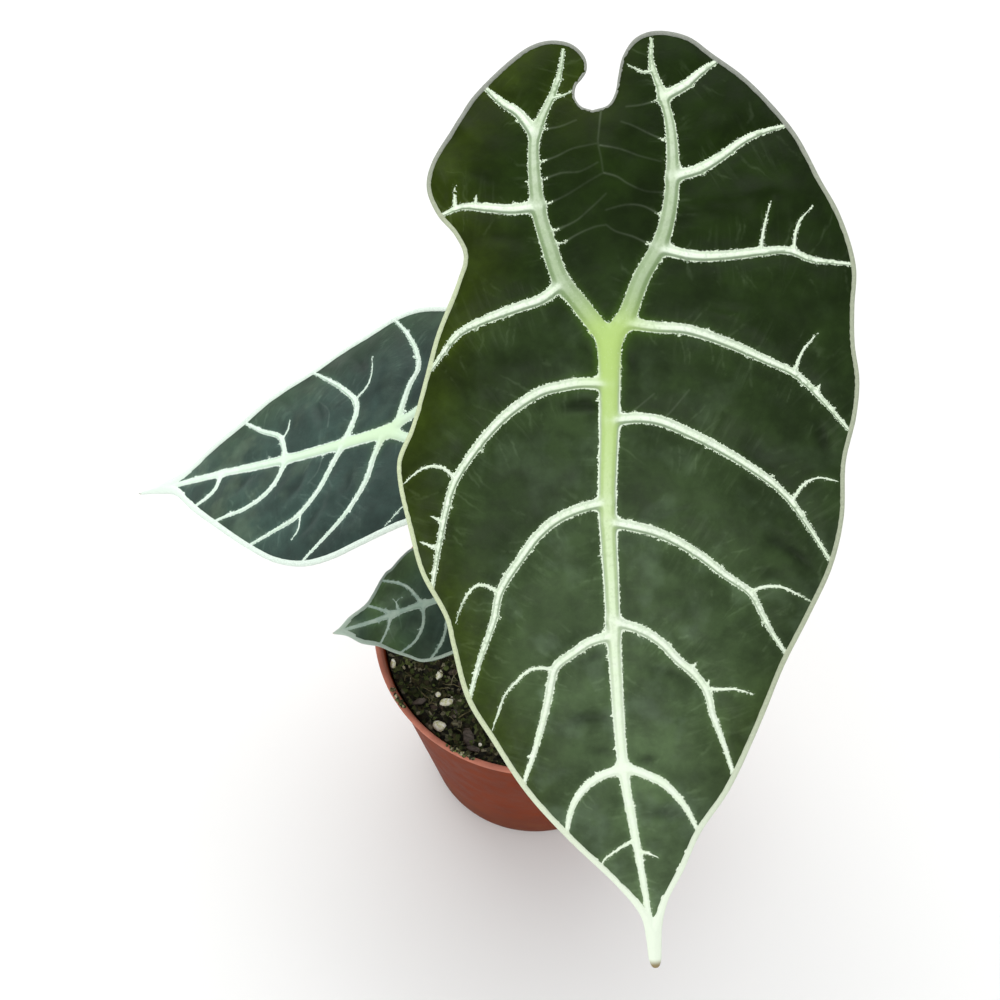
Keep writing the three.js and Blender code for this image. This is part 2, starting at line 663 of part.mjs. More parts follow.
    // Lateral ribs
    for (const { upper, lower, foot, end } of ribs) {
      const crests = stepsBetween(0, 1, cellsAlongRib).map((share) => crest(leaf.lateralWidths, share));
      pale.push(...patch(upper, lower, foot, end, 0, 1, crests));
    }

    // Spine: back rib and midrib, as a strip on each side of their middle line
    const backSteps = Math.round(backLength / SPINE_STEP);
    const backLine = stepsBetween(0, 1, backSteps).slice(1, -1)
      .map((share) => beside(back, share, 0, 0, crest(leaf.backRibWidths, share)));
    const middle = [lobeMiddle, ...backLine.toReversed(), ...midribLine];
    const withRibs = (stretches, where) => stretches.flatMap((stretch, panel) => (panel < ribs.length
      ? [...stretch, ribs[panel][where][1]]
      : stretch));
    pale.push(...zip(withRibs(spineStretches, "foot"), middle));
    const shoulderOnRib = placeOn(back, shoulder[0]);
    const innerPoint = (place) => beside(back, place, (side * widthAt(leaf.backRibWidths, place)) / 2);
    const nearCrotch = (1.5 * leaf.backRibWidths[0]) / backLength;
    const innerLow = stepsBetween(nearCrotch, shoulderOnRib, 2 * cellsInNotch).map(innerPoint);
    const innerHigh = stepsBetween(shoulderOnRib, 1, 2 * cellsInNotch).slice(1, -1).map(innerPoint);
    pale.push(...zip([crotch, ...innerLow, ...innerHigh, lobeInner], [joint, ...backLine, lobeMiddle]));

    // The lobe's inner part, from the back rib to the notch, ends at the shoulder
    const shoulderOnRim = placeOn(margin, shoulder[1]);
    const shoulderEnd = rimPoint(shoulderOnRim);
    const shoulderLine = stepsBetween(0, 1, 2 * cellsInNotch).map((share) => (
      new LeafPoint(0, 0).lerpVectors(innerLow.at(-1), shoulderEnd, share)));
    const lobeRim = stepsBetween(shoulderOnRim, lobePlace - lobeHalf, 2 * cellsInNotch).slice(1, -1)
      .map((place) => rimPoint(place));
    shoulderLine[0] = innerLow.at(-1);
    shoulderLine[shoulderLine.length - 1] = shoulderEnd;
    green.push(...patch(
      shoulderLine,
      [innerLow.at(-1), ...innerHigh, lobeInner],
      [shoulderEnd, ...lobeRim, lobeInner].map(() => innerLow.at(-1)),
      [shoulderEnd, ...lobeRim, lobeInner],
      0,
      LOBE_FADE,
    ));
    innerEdges.push([crotch, ...innerLow, ...shoulderLine.slice(1)]);

    // Margin: the notch, then round the lobe and down the side to the drip tip
    const notchFloor = stepsBetween(0, shoulderOnRim, cellsInNotch).slice(1, -1)
      .map((place) => rimPoint(place));
    notchEdges.push([notchInside, ...notchFloor, shoulderEnd]);
    rimPoints.set(notchInside, notchRim);
    const lobeSide = [...notchEdges.at(-1), ...lobeRim, lobeInner, lobeMiddle];
    const inside = [...lobeSide, ...withRibs(rimStretches, "end")];
    pale.push(...zip(inside, inside.map((point) => rimPoints.get(point))));
    const tipRim = stepsBetween(tipPlace, 1, TIP_STEPS).slice(1, -1)
      .map((place) => new LeafPoint(...margin.getPointAt(place).toArray()));
    pale.push(...zip([tipPoint, ...tipLine], [rimPoints.get(tipPoint), ...tipRim, tip]));
  }

  // The panel between the two back ribs, under the notch
  const [rightInner, leftInner] = innerEdges;
  const [rightNotch, leftNotch] = notchEdges;
  const notchLine = [...leftNotch.toReversed(), ...rightNotch.slice(1)];
  green.push(...patch(leftInner, rightInner, notchLine.map(() => crotch), notchLine, leaf.pillow));
  return { green, pale };
}

// A flat drawing laid on the leaf's curved surface and given a thickness: every triangle has a twin on
// the other face, and a wall closes the sheet along each edge that only one triangle has
function sheetGeometry(leaf, triangles, normals, bottomOf, topOf) {
  const kept = triangles.filter((corners) => new Set(corners).size === 3).map((corners) => {
    const [a, b, c] = corners;
    const turn = (b.x - a.x) * (c.y - a.y) - (b.y - a.y) * (c.x - a.x);
    return turn < 0 ? corners : [a, c, b];
  });
  const raise = (point, height) => surfacePoint(leaf, point).addScaledVector(normals.get(point), height);
  const bottoms = new Map();
  const tops = new Map();
  for (const point of new Set(kept.flat())) {
    bottoms.set(point, raise(point, bottomOf(point)));
    tops.set(point, raise(point, topOf(point)));
  }
  const ids = new Map([...tops.keys()].map((point, id) => [point, id]));
  const edgeKey = (a, b) => `${ids.get(a)}>${ids.get(b)}`;
  const edges = new Set(kept.flatMap(([a, b, c]) => [edgeKey(a, b), edgeKey(b, c), edgeKey(c, a)]));
  const solid = [];
  for (const [a, b, c] of kept) {
    solid.push([tops.get(a), tops.get(b), tops.get(c)], [bottoms.get(a), bottoms.get(c), bottoms.get(b)]);
    for (const [from, to] of [[a, b], [b, c], [c, a]]) {
      if (!edges.has(edgeKey(to, from))) {
        solid.push([tops.get(from), bottoms.get(from), bottoms.get(to)]);
        solid.push([tops.get(from), bottoms.get(to), tops.get(to)]);
      }
    }
  }
  return geometryFromTriangles(solid);
}

function surfacePoint(leaf, point) {
  const fall = leaf.droop * point.y * point.y + leaf.arch * point.x * point.x;
  return new THREE.Vector3(point.x, -point.y, point.z - fall);
}

function surfaceNormals(leaf, triangles) {
  const normals = new Map();
  for (const corners of triangles) {
    const [a, b, c] = corners.map((corner) => surfacePoint(leaf, corner));
    const normal = b.sub(a).cross(c.sub(a));
    if (normal.z < 0) normal.negate();
    for (const corner of corners) {
      normals.set(corner, (normals.get(corner) ?? new THREE.Vector3()).add(normal));
    }
  }
  for (const normal of normals.values()) normal.normalize();
  return normals;
}

// A leaf: its green blade with keels under the ribs, and the pale net of ribs and margin on top
function makeLeaf(leaf) {
  const { green, pale } = drawLeaf(leaf);
  const normals = surfaceNormals(leaf, [...green, ...pale]);
  const half = BLADE_THICKNESS / 2;
  const blade = sheetGeometry(
    leaf,
    [...green, ...pale],
    normals,
    (point) => -half - KEEL_SHARE * point.ridge,
    () => half,
  );
  const net = sheetGeometry(
    leaf,
    pale,
    normals,
    () => half + SEAT_GAP,
    (point) => half + SEAT_GAP + NET_THICKNESS + point.ridge,
  );
  const group = new THREE.Group();
  group.position.set(...leaf.attach);
  const [heading, dip, bank] = [leaf.heading, leaf.dip, leaf.bank].map(THREE.MathUtils.degToRad);
  group.rotation.set(dip, bank, heading, "ZXY");
  group.add(pieceMesh(`${leaf.name}_blade`, blade, BLADE_FINISH));
  group.add(pieceMesh(`${leaf.name}_rib_net`, net, NET_FINISH));
  group.updateMatrixWorld();
  return group;
}

// A petiole's way from the crown up to the middle of the blade, which it meets square on
function petiolePath(leaf, leafGroup) {
  const keel = KEEL_SHARE * RIDGE_SHARE * leaf.midribWidths[0];
  const top = -(BLADE_THICKNESS / 2 + keel + SEAT_GAP + 0.2);
  const bend = top - 4 * leaf.petiole.radii[1];
  const under = [bend, top].map((depth) => leafGroup.localToWorld(new THREE.Vector3(0, 0, depth)));
  return [...leaf.petiole.path.map((point) => new THREE.Vector3(...point)), ...under];
}

const plant = new THREE.Group();
plant.name = "potted_alocasia_watsoniana";
plant.add(makePot(), makeSoil());
let crown = solidOf(crownGeometry(0));
for (const leaf of LEAVES) {
  const leafGroup = makeLeaf(leaf);
  const path = petiolePath(leaf, leafGroup);
  const { radii } = leaf.petiole;
  plant.add(leafGroup, pieceMesh(`${leaf.name}_petiole`, stemGeometry(path, radii), PETIOLE_FINISH));
  crown = crown.subtract(solidOf(stemGeometry(path, radii, SEAT_GAP)));
}
plant.add(pieceMesh("crown", geometryOf(crown), CROWN_FINISH));

export default plant;
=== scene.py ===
# %% [markdown]
# # A potted alocasia watsoniana
# Three arrow-shaped leaves with raised pale ribs hang over a small nursery pot. The solids give
# every piece its size and place. This lesson gives each piece its finer form and its finish:
# quilted blades, corded ribs with toothed edges, mottled stalks, crumbly soil and moulded plastic.

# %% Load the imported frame
import math

import bmesh
import bpy
import numpy as np
from mathutils import Euler, Matrix, Vector, noise
from mathutils.geometry import delaunay_2d_cdt


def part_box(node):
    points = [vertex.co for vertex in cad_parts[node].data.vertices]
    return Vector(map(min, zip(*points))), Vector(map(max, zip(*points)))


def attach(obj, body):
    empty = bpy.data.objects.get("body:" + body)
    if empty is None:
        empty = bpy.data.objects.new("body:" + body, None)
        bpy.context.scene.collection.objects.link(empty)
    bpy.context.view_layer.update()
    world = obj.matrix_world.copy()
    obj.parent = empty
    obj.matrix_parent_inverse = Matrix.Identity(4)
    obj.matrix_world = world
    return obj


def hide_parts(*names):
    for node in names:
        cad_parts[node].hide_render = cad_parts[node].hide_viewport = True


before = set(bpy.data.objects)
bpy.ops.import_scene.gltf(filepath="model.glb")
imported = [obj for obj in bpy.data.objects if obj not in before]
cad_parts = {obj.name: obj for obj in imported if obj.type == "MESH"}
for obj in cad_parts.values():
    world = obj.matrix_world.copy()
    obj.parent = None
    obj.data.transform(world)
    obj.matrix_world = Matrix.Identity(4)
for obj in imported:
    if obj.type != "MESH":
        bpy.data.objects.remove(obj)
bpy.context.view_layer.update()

MM = 0.001
print("solids:", sorted(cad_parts))

# %% [markdown]
# ## The view
# The plant is looked down on from the front, steeply enough to see the large leaf face on. A long
# lens from two thirds of a metre keeps the near leaf from looking swollen. The camera could be
# pointed with a Track To constraint. Here it is placed by its distance from the pot's rim, along the
# way that it looks, so one angle sets the whole view.

# %% Camera
CAMERA_ELEVATION = math.radians(58)
CAMERA_DISTANCE = 0.654
LENS_MM = 73.5
RIM_LEFT_OF_VIEW = 0.0121
RIM_BELOW_VIEW = 0.0396

rim_middle = Vector((0, 0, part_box("pot")[1][2]))
look_right = Vector((1, 0, 0))
look_up = Vector((0, math.sin(CAMERA_ELEVATION), math.cos(CAMERA_ELEVATION)))
look_back = Vector((0, -math.cos(CAMERA_ELEVATION), math.sin(CAMERA_ELEVATION)))

camera = bpy.data.objects.new("camera", bpy.data.cameras.new("camera"))
camera.data.lens = LENS_MM
camera.data.clip_start = 0.01
turned = Matrix((look_right, look_up, look_back)).transposed().to_4x4()
aside = -RIM_LEFT_OF_VIEW * look_right + RIM_BELOW_VIEW * look_up
camera.matrix_world = Matrix.Translation(rim_middle + aside + CAMERA_DISTANCE * look_back) @ turned
bpy.context.scene.collection.objects.link(camera)
bpy.context.scene.camera = camera
print("camera at", [round(value, 3) for value in camera.matrix_world.translation])

# %% [markdown]
# ## Light and floor
# The photograph is lit as a plain studio shot, nearly white all round. Each rib is bright on its
# upper side and grey on its lower side, so the main light is broad and stands high behind the
# plant. An even sky fills the shadows. A weaker lamp stands low in front, where the drooping tip of
# the large leaf mirrors it and looks lighter than the rest of the blade.

# %% Studio
studio = bpy.data.worlds.new("studio")
studio.use_nodes = True
sky = studio.node_tree.nodes["Background"]
sky.inputs["Color"].default_value = (0.96, 0.98, 1.0, 1)
sky.inputs["Strength"].default_value = 0.62
bpy.context.scene.world = studio
bpy.context.scene.view_settings.view_transform = "Standard"


def soft_lamp(name, place, aim, size, watts, color):
    lamp = bpy.data.objects.new(name, bpy.data.lights.new(name, "AREA"))
    lamp.data.size = size
    lamp.data.energy = watts
    lamp.data.color = color
    lamp.location = place
    lamp.rotation_euler = (Vector(aim) - Vector(place)).to_track_quat("-Z", "Y").to_euler()
    bpy.context.scene.collection.objects.link(lamp)


soft_lamp("back_lamp", (-0.15, 0.85, 1.35), (0, 0, 0.15), 2.0, 20, (1.0, 1.0, 0.99))
soft_lamp("front_lamp", (-0.3, -1.25, 0.95), (0, -0.05, 0.2), 0.9, 7, (1.0, 0.99, 0.96))

floor_mesh = bpy.data.meshes.new("floor")
FLOOR_REACH = 3.0
FLOOR_DROP = -0.0002
floor_mesh.from_pydata(
    [(x * FLOOR_REACH, y * FLOOR_REACH, FLOOR_DROP) for x, y in ((-1, -1), (1, -1), (1, 1), (-1, 1))],
    [], [(0, 1, 2, 3)],
)
floor = bpy.data.objects.new("floor", floor_mesh)
bpy.context.scene.collection.objects.link(floor)

# %% [markdown]
# ## Small tools for finishes
# Every finish is a graph of nodes. It could be wired by hand in the shader editor, but a script
# keeps it with the shape that it belongs to. These helpers keep each graph short enough to read: a
# place in millimetres, a noise, a mix of two colours and a smooth step from 0 to 1.


# %% Node helpers
class Finish:
    """A material whose graph is built one node at a time."""

    def __init__(self, name, specular=0.5):
        self.material = bpy.data.materials.new(name)
        self.material.use_nodes = True
        self.nodes = self.material.node_tree.nodes
        self.links = self.material.node_tree.links
        self.surface = self.nodes["Principled BSDF"]
        self.surface.inputs["Specular IOR Level"].default_value = specular
        place = self.nodes.new("ShaderNodeTexCoord").outputs["Object"]
        self.place = self.vector("SCALE", place, 1 / MM)

    def plug(self, value, socket):
        if isinstance(value, bpy.types.NodeSocket):
            self.links.new(value, socket)
        elif isinstance(value, (tuple, list)) and len(value) == 3 and socket.type == "RGBA":
            socket.default_value = (*value, 1)
        else:
            socket.default_value = value

    def vector(self, operation, a, b):
        node = self.nodes.new("ShaderNodeVectorMath")
        node.operation = operation
        self.plug(a, node.inputs[0])
        self.plug(b, node.inputs["Scale"] if operation == "SCALE" else node.inputs[1])
        return node.outputs[0]

    def math(self, operation, a, b=0.0):
        node = self.nodes.new("ShaderNodeMath")
        node.operation = operation
        self.plug(a, node.inputs[0])
        self.plug(b, node.inputs[1])
        return node.outputs[0]

    def noise(self, size, detail=3.0, rough=0.55, place=None, stretch=(1, 1, 1)):
        """Cloudy noise whose patches are size millimetres across."""
        node = self.nodes.new("ShaderNodeTexNoise")
        scale = tuple(1 / (size * along) for along in stretch)
        self.links.new(self.vector("MULTIPLY", place or self.place, scale), node.inputs["Vector"])
        node.inputs["Scale"].default_value = 1
        node.inputs["Detail"].default_value = detail
        node.inputs["Roughness"].default_value = rough
        return node.outputs["Fac"]

    def cells(self, size, feature="F1", output="Distance", dimension="3D", at=None):
        node = self.nodes.new("ShaderNodeTexVoronoi")
        node.voronoi_dimensions = dimension
        node.feature = feature
        node.inputs["Scale"].default_value = 1
        if dimension == "1D":
            self.links.new(self.math("DIVIDE", at, size), node.inputs["W"])
        else:
            self.links.new(self.vector("SCALE", at or self.place, 1 / size), node.inputs["Vector"])
        return node.outputs[output]

    def step(self, value, low, high, start=0.0, end=1.0):
        """Start below low, end above high, and a smooth change between them."""
        node = self.nodes.new("ShaderNodeMapRange")
        node.interpolation_type = "SMOOTHSTEP"
        for socket, given in zip(node.inputs, (value, low, high, start, end)):
            self.plug(given, socket)
        return node.outputs["Result"]

    def mix(self, share, a, b):
        node = self.nodes.new("ShaderNodeMix")
        node.data_type = "RGBA"
        self.plug(share, node.inputs[0])
        self.plug(a, node.inputs[6])
        self.plug(b, node.inputs[7])
        return node.outputs[2]

    def measured(self, name):
        """A number that the mesh carries at each of its points."""
        node = self.nodes.new("ShaderNodeAttribute")
        node.attribute_name = name
        return node.outputs["Fac"]

    def bump(self, height, depth_mm, strength=1.0, under=None):
        node = self.nodes.new("ShaderNodeBump")
        node.inputs["Distance"].default_value = depth_mm * MM
        node.inputs["Strength"].default_value = strength
        self.links.new(height, node.inputs["Height"])
        if under is not None:
            self.links.new(under, node.inputs["Normal"])
        return node.outputs["Normal"]

    def done(self, color, roughness=None, normal=None):
        self.plug(color, self.surface.inputs["Base Color"])
        if roughness is not None:
            self.plug(roughness, self.surface.inputs["Roughness"])
        if normal is not None:
            self.plug(normal, self.surface.inputs["Normal"])
        return self.material


def srgb(red, green, blue):
    """A colour as seen on a screen, 0 to 255, turned into the linear values that light needs."""
    return tuple(((c / 255 + 0.055) / 1.055) ** 2.4 if c > 10 else c / 3295 for c in (red, green, blue))


# %% [markdown]
# ## Floor finish
# The floor is a pale matt sheet. Slow noise between two near whites keeps it from looking empty.


# %% Floor finish
def floor_finish():
    finish = Finish("studio_floor", specular=0.2)
    cloud = finish.noise(220, detail=2)
    return finish.done(finish.mix(cloud, srgb(246, 246, 244), srgb(252, 252, 251)), 0.85)


floor_mesh.materials.append(floor_finish())
print("floor finish:", floor_mesh.materials[0].name)

# %% [markdown]
# ## Meshes from arrays
# The leaves have tens of thousands of points. Blender's own modelling tools would take them one by
# one, so they are worked out as arrays and handed to the mesh in one go. Each piece can carry
# numbers at its points, which its finish reads.


# %% Piece maker
def make_piece(name, points_mm, faces, materials, numbers=None, face_material=None):
    mesh = bpy.data.meshes.new(name)
    mesh.from_pydata((np.asarray(points_mm, float) * MM).tolist(), [], [tuple(face) for face in faces])
    for label, values in (numbers or {}).items():
        column = mesh.attributes.new(label, "FLOAT", "POINT")
        column.data.foreach_set("value", np.asarray(values, np.float32))
    for material in materials:
        mesh.materials.append(material)
    if face_material is not None:
        mesh.polygons.foreach_set("material_index", np.asarray(face_material, np.int32))
    mesh.polygons.foreach_set("use_smooth", np.ones(len(mesh.polygons), bool))
    mesh.update()
    piece = bpy.data.objects.new(name, mesh)
    bpy.context.scene.collection.objects.link(piece)
    print(f"{name}: {len(mesh.vertices)} points, {len(mesh.polygons)} faces")
    return piece


def cloudy(points, size, seed=0.0):
    """Smooth noise between about -1 and 1 at each point, with patches size millimetres across."""
    wide = np.zeros((len(points), 3))
    wide[:, : np.shape(points)[1]] = np.asarray(points) / size
    return np.array([noise.noise(Vector((x + seed, y - seed, z))) for x, y, z in wide])


# %% [markdown]
# ## The large leaf, drawn flat
# Each leaf is drawn flat as [across, along] in millimetres from the point where the stalk meets
# the blade, with along running to the tip. The outline and the ribs are a few points each, joined
# by the same smooth curve as in the solids. The lists could be traced more densely, but a curve
# through few points stays as fair as a real margin.
#
# A drawing also says how the leaf hangs and swells. It meets its stalk at attach, and turn is its
# dip, bank and heading in degrees. Droop and arch bend it down along and across. The pillow is how
# far it swells between its ribs, ripple and ripples are the height and number of waves along a
# side, and rim is the width of the pale margin. Cell and fine are the sizes of its triangles, and
# drip is how much of the tip is solid pale.

# %% Large leaf
LARGE = {
    "name": "leaf_large", "attach": (15, -12, 253), "turn": (32, -6, 5), "droop": 0.0012, "arch": 0.001,
    "pillow": 2.1, "ripple": 1.6, "ripples": 4, "rim": 1.15, "cell": 1.1, "fine": 0.305, "drip": 16,
    "spine_widths": (5.6, 0.9), "back_widths": (4.4, 0.7), "side_widths": (2.7, 0.65), "twig_width": 0.8,
    "grey_margin": (0.0, 0.7, 1.0),
    "midrib": [(0, 0), (-1.5, 20), (-3.5, 40), (-4, 60), (-4.5, 80), (-4.5, 108), (-3, 124), (-1, 145),
               (0, 160)],
    "outlines": [
        [(0, -58), (4, -59), (6, -62), (7, -66), (8.5, -71), (12, -75.5), (17, -77), (25, -75), (31, -70),
         (38, -64), (44, -57), (50, -48), (55, -36), (59, -27), (62, -14), (61, -4), (60.5, 5), (61, 14),
         (59.5, 23), (56, 34), (54.5, 48), (51, 60), (45, 71.5), (37.5, 84.5), (31.5, 97), (22, 115),
         (14, 126), (9, 136), (4.5, 144), (2.5, 151), (1.9, 157), (1.5, 161), (0.8, 162.7), (0, 163)],
        [(0, -58), (-2.7, -59.2), (-4.1, -61.6), (-3.6, -64.7), (-2.1, -66.3), (-0.8, -68.2), (-0.6, -70.6),
         (-1.6, -73), (-4.4, -75.6), (-9, -76.8), (-14, -76), (-20, -72.5), (-30, -64), (-34, -58.5),
         (-41, -48.5), (-42.7, -42), (-40.5, -35), (-36.5, -29.5), (-34.5, -24), (-36.5, -18), (-43, -5),
         (-47, 6), (-51, 17), (-55, 25), (-55.3, 31), (-53.5, 43), (-51.5, 54), (-46.5, 66), (-45.5, 73),
         (-43, 87), (-37, 99), (-30, 112), (-20.5, 125), (-7.5, 140.5), (-2.9, 148), (-1.9, 155),
         (-1.6, 160.5), (-0.8, 162.7), (0, 163)],
    ],
    "backs": [
        [(0, 0), (4.3, -5.2), (9, -15), (14.1, -22.8), (16.8, -30), (18.5, -39), (19, -52), (17.5, -61),
         (15.5, -69), (16, -75)],
        [(0, 0), (-2.5, -3.5), (-6.5, -9.5), (-11, -16.5), (-13, -24), (-15, -33), (-15.5, -40),
         (-14.9, -52), (-12.3, -58), (-9.8, -62.6), (-7.4, -68.4), (-6.2, -74)],
    ],
    "sides": [
        [(18, -60), (23.5, -62.5), (27.5, -65.5), (32.5, -68.5)],
        [(18.5, -39.5), (25.5, -41), (30.5, -43.5), (37, -47.5), (42, -49.3), (48, -50.5)],
        [(14, -22), (22.5, -19.4), (32, -19), (39.5, -19.3), (46, -19), (50.7, -16.6), (61, -14.5)],
        [(3, -4.5), (12, -2.5), (18.5, -1.6), (25.5, 1), (32.5, 4.4), (39, 8), (45, 11.3), (49.5, 16),
         (58, 27)],
        [(-1.5, 19.5), (6, 19.5), (11, 20.6), (19, 24.7), (26, 29), (32.5, 33.7), (38, 38.3), (42, 43),
         (45, 48), (51, 59)],
        [(-3.5, 44.5), (8, 48), (13.5, 51), (19, 55), (24.5, 60), (30.5, 65), (33, 70.5), (35.5, 76),
         (39, 82)],
        [(-4.4, 69.5), (2.7, 72.3), (7.6, 76), (11.3, 80.6), (15, 84.2), (17.8, 88.8), (19, 95.3),
         (21, 102), (23.5, 112)],
        [(-4.5, 107), (2, 110), (5.5, 112.2), (9.2, 116.7), (11.3, 120.4), (13.5, 126)],
        [(-15, -53.5), (-18.7, -59.2), (-22, -61.6), (-27, -67)],
        [(-15, -35), (-21.5, -34.7), (-28, -35.6), (-34, -36.4), (-40, -34.5)],
        [(-11, -15), (-16, -11.7), (-21, -10.4), (-28, -8.5), (-34.5, -6.3), (-38, -4.3), (-45, 3.5)],
        [(-0.8, 10.5), (-8, 9.8), (-12.7, 10.2), (-17.5, 11), (-22.6, 13.4), (-27.6, 16.7),
         (-32.2, 20.8), (-36.3, 25.3), (-41.5, 32.5), (-45, 42.7), (-49.5, 60)],
        [(-3.4, 39.5), (-11.2, 41), (-16.7, 43.2), (-21.7, 47), (-26, 52), (-30, 57), (-32.4, 61),
         (-34, 66.7), (-39, 78.2), (-42.5, 88)],
        [(-4.4, 73), (-10.6, 74.4), (-14.5, 76.7), (-19.6, 80.2), (-21, 84), (-22.3, 89), (-26, 99.8),
         (-31, 112)],
        [(-4.5, 107.5), (-10, 109), (-14, 111.4), (-17.3, 115.2), (-19.2, 119.4), (-20.5, 125.5)],
    ],
    "twigs": [
        [(13.8, -66.5), (11.6, -67.5), (9.5, -69)],
        [(39, -19.4), (39.9, -24.7), (42.1, -31.3)],
        [(47.1, -18.9), (48.3, -25.1), (52.4, -29.6)],
        [(44.9, 10.8), (47.5, 5.7), (51.5, 1.7)],
        [(42.1, 43), (45.7, 38.5), (49, 37.5), (53.9, 38.8)],
        [(30.2, 64.8), (33.6, 63.6), (37.9, 63.9), (41.5, 65.7), (45.6, 68.4)],
        [(17.6, 88.5), (22, 88.7), (25.3, 89), (29.5, 90.6)],
        [(-2.4, 129.8), (0.5, 130.7), (2.6, 131.8)],
        [(-9.8, -62), (-6.5, -62.6), (-4.6, -63.5)],
        [(-40.6, 31.2), (-43.8, 28.1), (-46.5, 27.4), (-50.2, 28.6), (-54, 31.4)],
        [(-32, 60.4), (-35.1, 58.4), (-37.4, 58), (-40.1, 60.1), (-41.9, 62.8), (-43.9, 67.4)],
        [(-19.6, 81), (-22.7, 80.2), (-26.3, 80.5), (-29.3, 82.8), (-32.6, 86), (-34.8, 90.3),
         (-37, 95.5)],
        [(-3, 126.6), (-8.2, 129.5), (-11, 131.5), (-12.6, 134)],
        [(-44.9, 41.6), (-46.3, 40.7), (-47.5, 40)],
        [(-47.7, 47.7), (-49.2, 46.9), (-51, 46.1)],
        [(-35.9, -37.7), (-35.6, -40.5), (-35.5, -42.5)],
        [(-30.7, -37), (-30.4, -39)],
        [(14.2, 83.8), (14.9, 82.5), (15.7, 81.5)],
        [(17.9, 88.4), (18.6, 86.4)],
        [(50.2, 16.3), (51.1, 14.4)],
    ],
    "hair_veins": [
        [(2.1, -57.7), (1.3, -52.9), (0.8, -49.4), (1.3, -45), (1.5, -41.7)],
        [(-13.2, -46.1), (-9.6, -47), (-5.8, -48.4), (0.8, -49.2)],
        [(1.2, -48.6), (6.4, -47.2), (10.7, -45.3), (16, -43.6)],
        [(-12.6, -54.2), (-8.1, -54.5), (-4.2, -55.7)],
        [(16.9, -49.1), (13.8, -50.6), (10.2, -52.7), (6.9, -54.2)],
        [(16, -59.1), (12.2, -58.2), (8.4, -58)],
        [(-13.5, -41.5), (-8.9, -42.6), (-4.2, -42.5), (0.4, -44.4)],
        [(-12.7, -35.4), (-7.8, -37), (-3.2, -39.4), (1.2, -41.5)],
        [(1.5, -41.7), (4.9, -40.4), (7.4, -38.5), (11.5, -36.4), (15.9, -35.8)],
        [(-11.4, -28.5), (-6.1, -30.3), (-2.1, -33.2), (1.8, -36.4)],
        [(14.8, -30.3), (10.7, -32.7), (6.6, -33.3), (1.5, -32.4)],
        [(-9.4, -25.3), (-5.8, -27), (-1.5, -28.4), (1.3, -28.7)],
        [(11.8, -23.1), (7.5, -25.4), (3.4, -27), (1.3, -28.7)],
        [(1.5, 19.5), (4.3, 17.8), (10, 13.8)],
        [(10, 20.5), (12.3, 19.7), (18.7, 13.5)],
    ],
    # Each dent is across, along, angle in degrees, length, width and depth; a negative depth swells
    "dents": [
        (-8, 15.3, 0, 6, 1.7, 1.9), (-12, 93.5, -4, 6, 2.2, 1.5), (-10.8, 102.5, 4, 5, 1.6, 0.9),
        (4.5, 120, 8, 5, 2.2, 1.4), (1.8, 105.5, -12, 3, 1.5, 1.1), (-9.7, 78.4, -14, 3.5, 1.3, 0.9),
        (9, 83.5, 24, 7, 1.7, 1.0), (50.5, 27.5, 78, 4, 2.2, 1.6), (55, 25.5, 70, 4.5, 2.0, -1.2),
        (41, 55, 38, 6.5, 1.7, 1.4), (43, 51, 38, 6, 2.2, -1.0), (35.5, 60, 20, 5.5, 2.4, 1.0),
        (12, 64, 6, 8, 1.8, 0.6), (11.5, 43.5, -22, 9, 1.4, 0.8), (33.5, 30, 30, 6, 3.2, 1.0),
        (-4.9, 2.6, 60, 2.4, 1.6, 1.0), (5.4, 6.6, 75, 3.5, 1.6, 1.0), (0.7, -6.2, 0, 2.2, 1.4, 0.9),
        (0.6, -9.6, 0, 3, 1.6, -0.8), (-37, -41.5, 60, 7, 3, -1.2), (-29, -44, 30, 5, 2.2, 1.0),
        (-33, -57, 45, 5, 2, -0.9), (-24, -28, 10, 7, 2.4, 0.9), (-38, 8, 60, 7, 2.2, 0.9),
        (24, -30, -12, 9, 2.6, 0.9), (40, -34, -10, 8, 2.8, -0.9), (30, -4, 20, 9, 2.4, -0.9),
        (-44, 44, 70, 7, 2.4, 0.8), (-34, 90, 55, 5, 2.0, 0.7), (25, 101, 50, 5, 1.8, 0.7),
    ],
}
print("large leaf:", len(LARGE["sides"]), "side ribs,", len(LARGE["twigs"]), "twigs")

# %% [markdown]
# ## The two smaller leaves, drawn flat
# The medium leaf hangs to the left with its lobes under the large one, and the small leaf is still
# young. Both are drawn in the same way, so every later step serves all three.

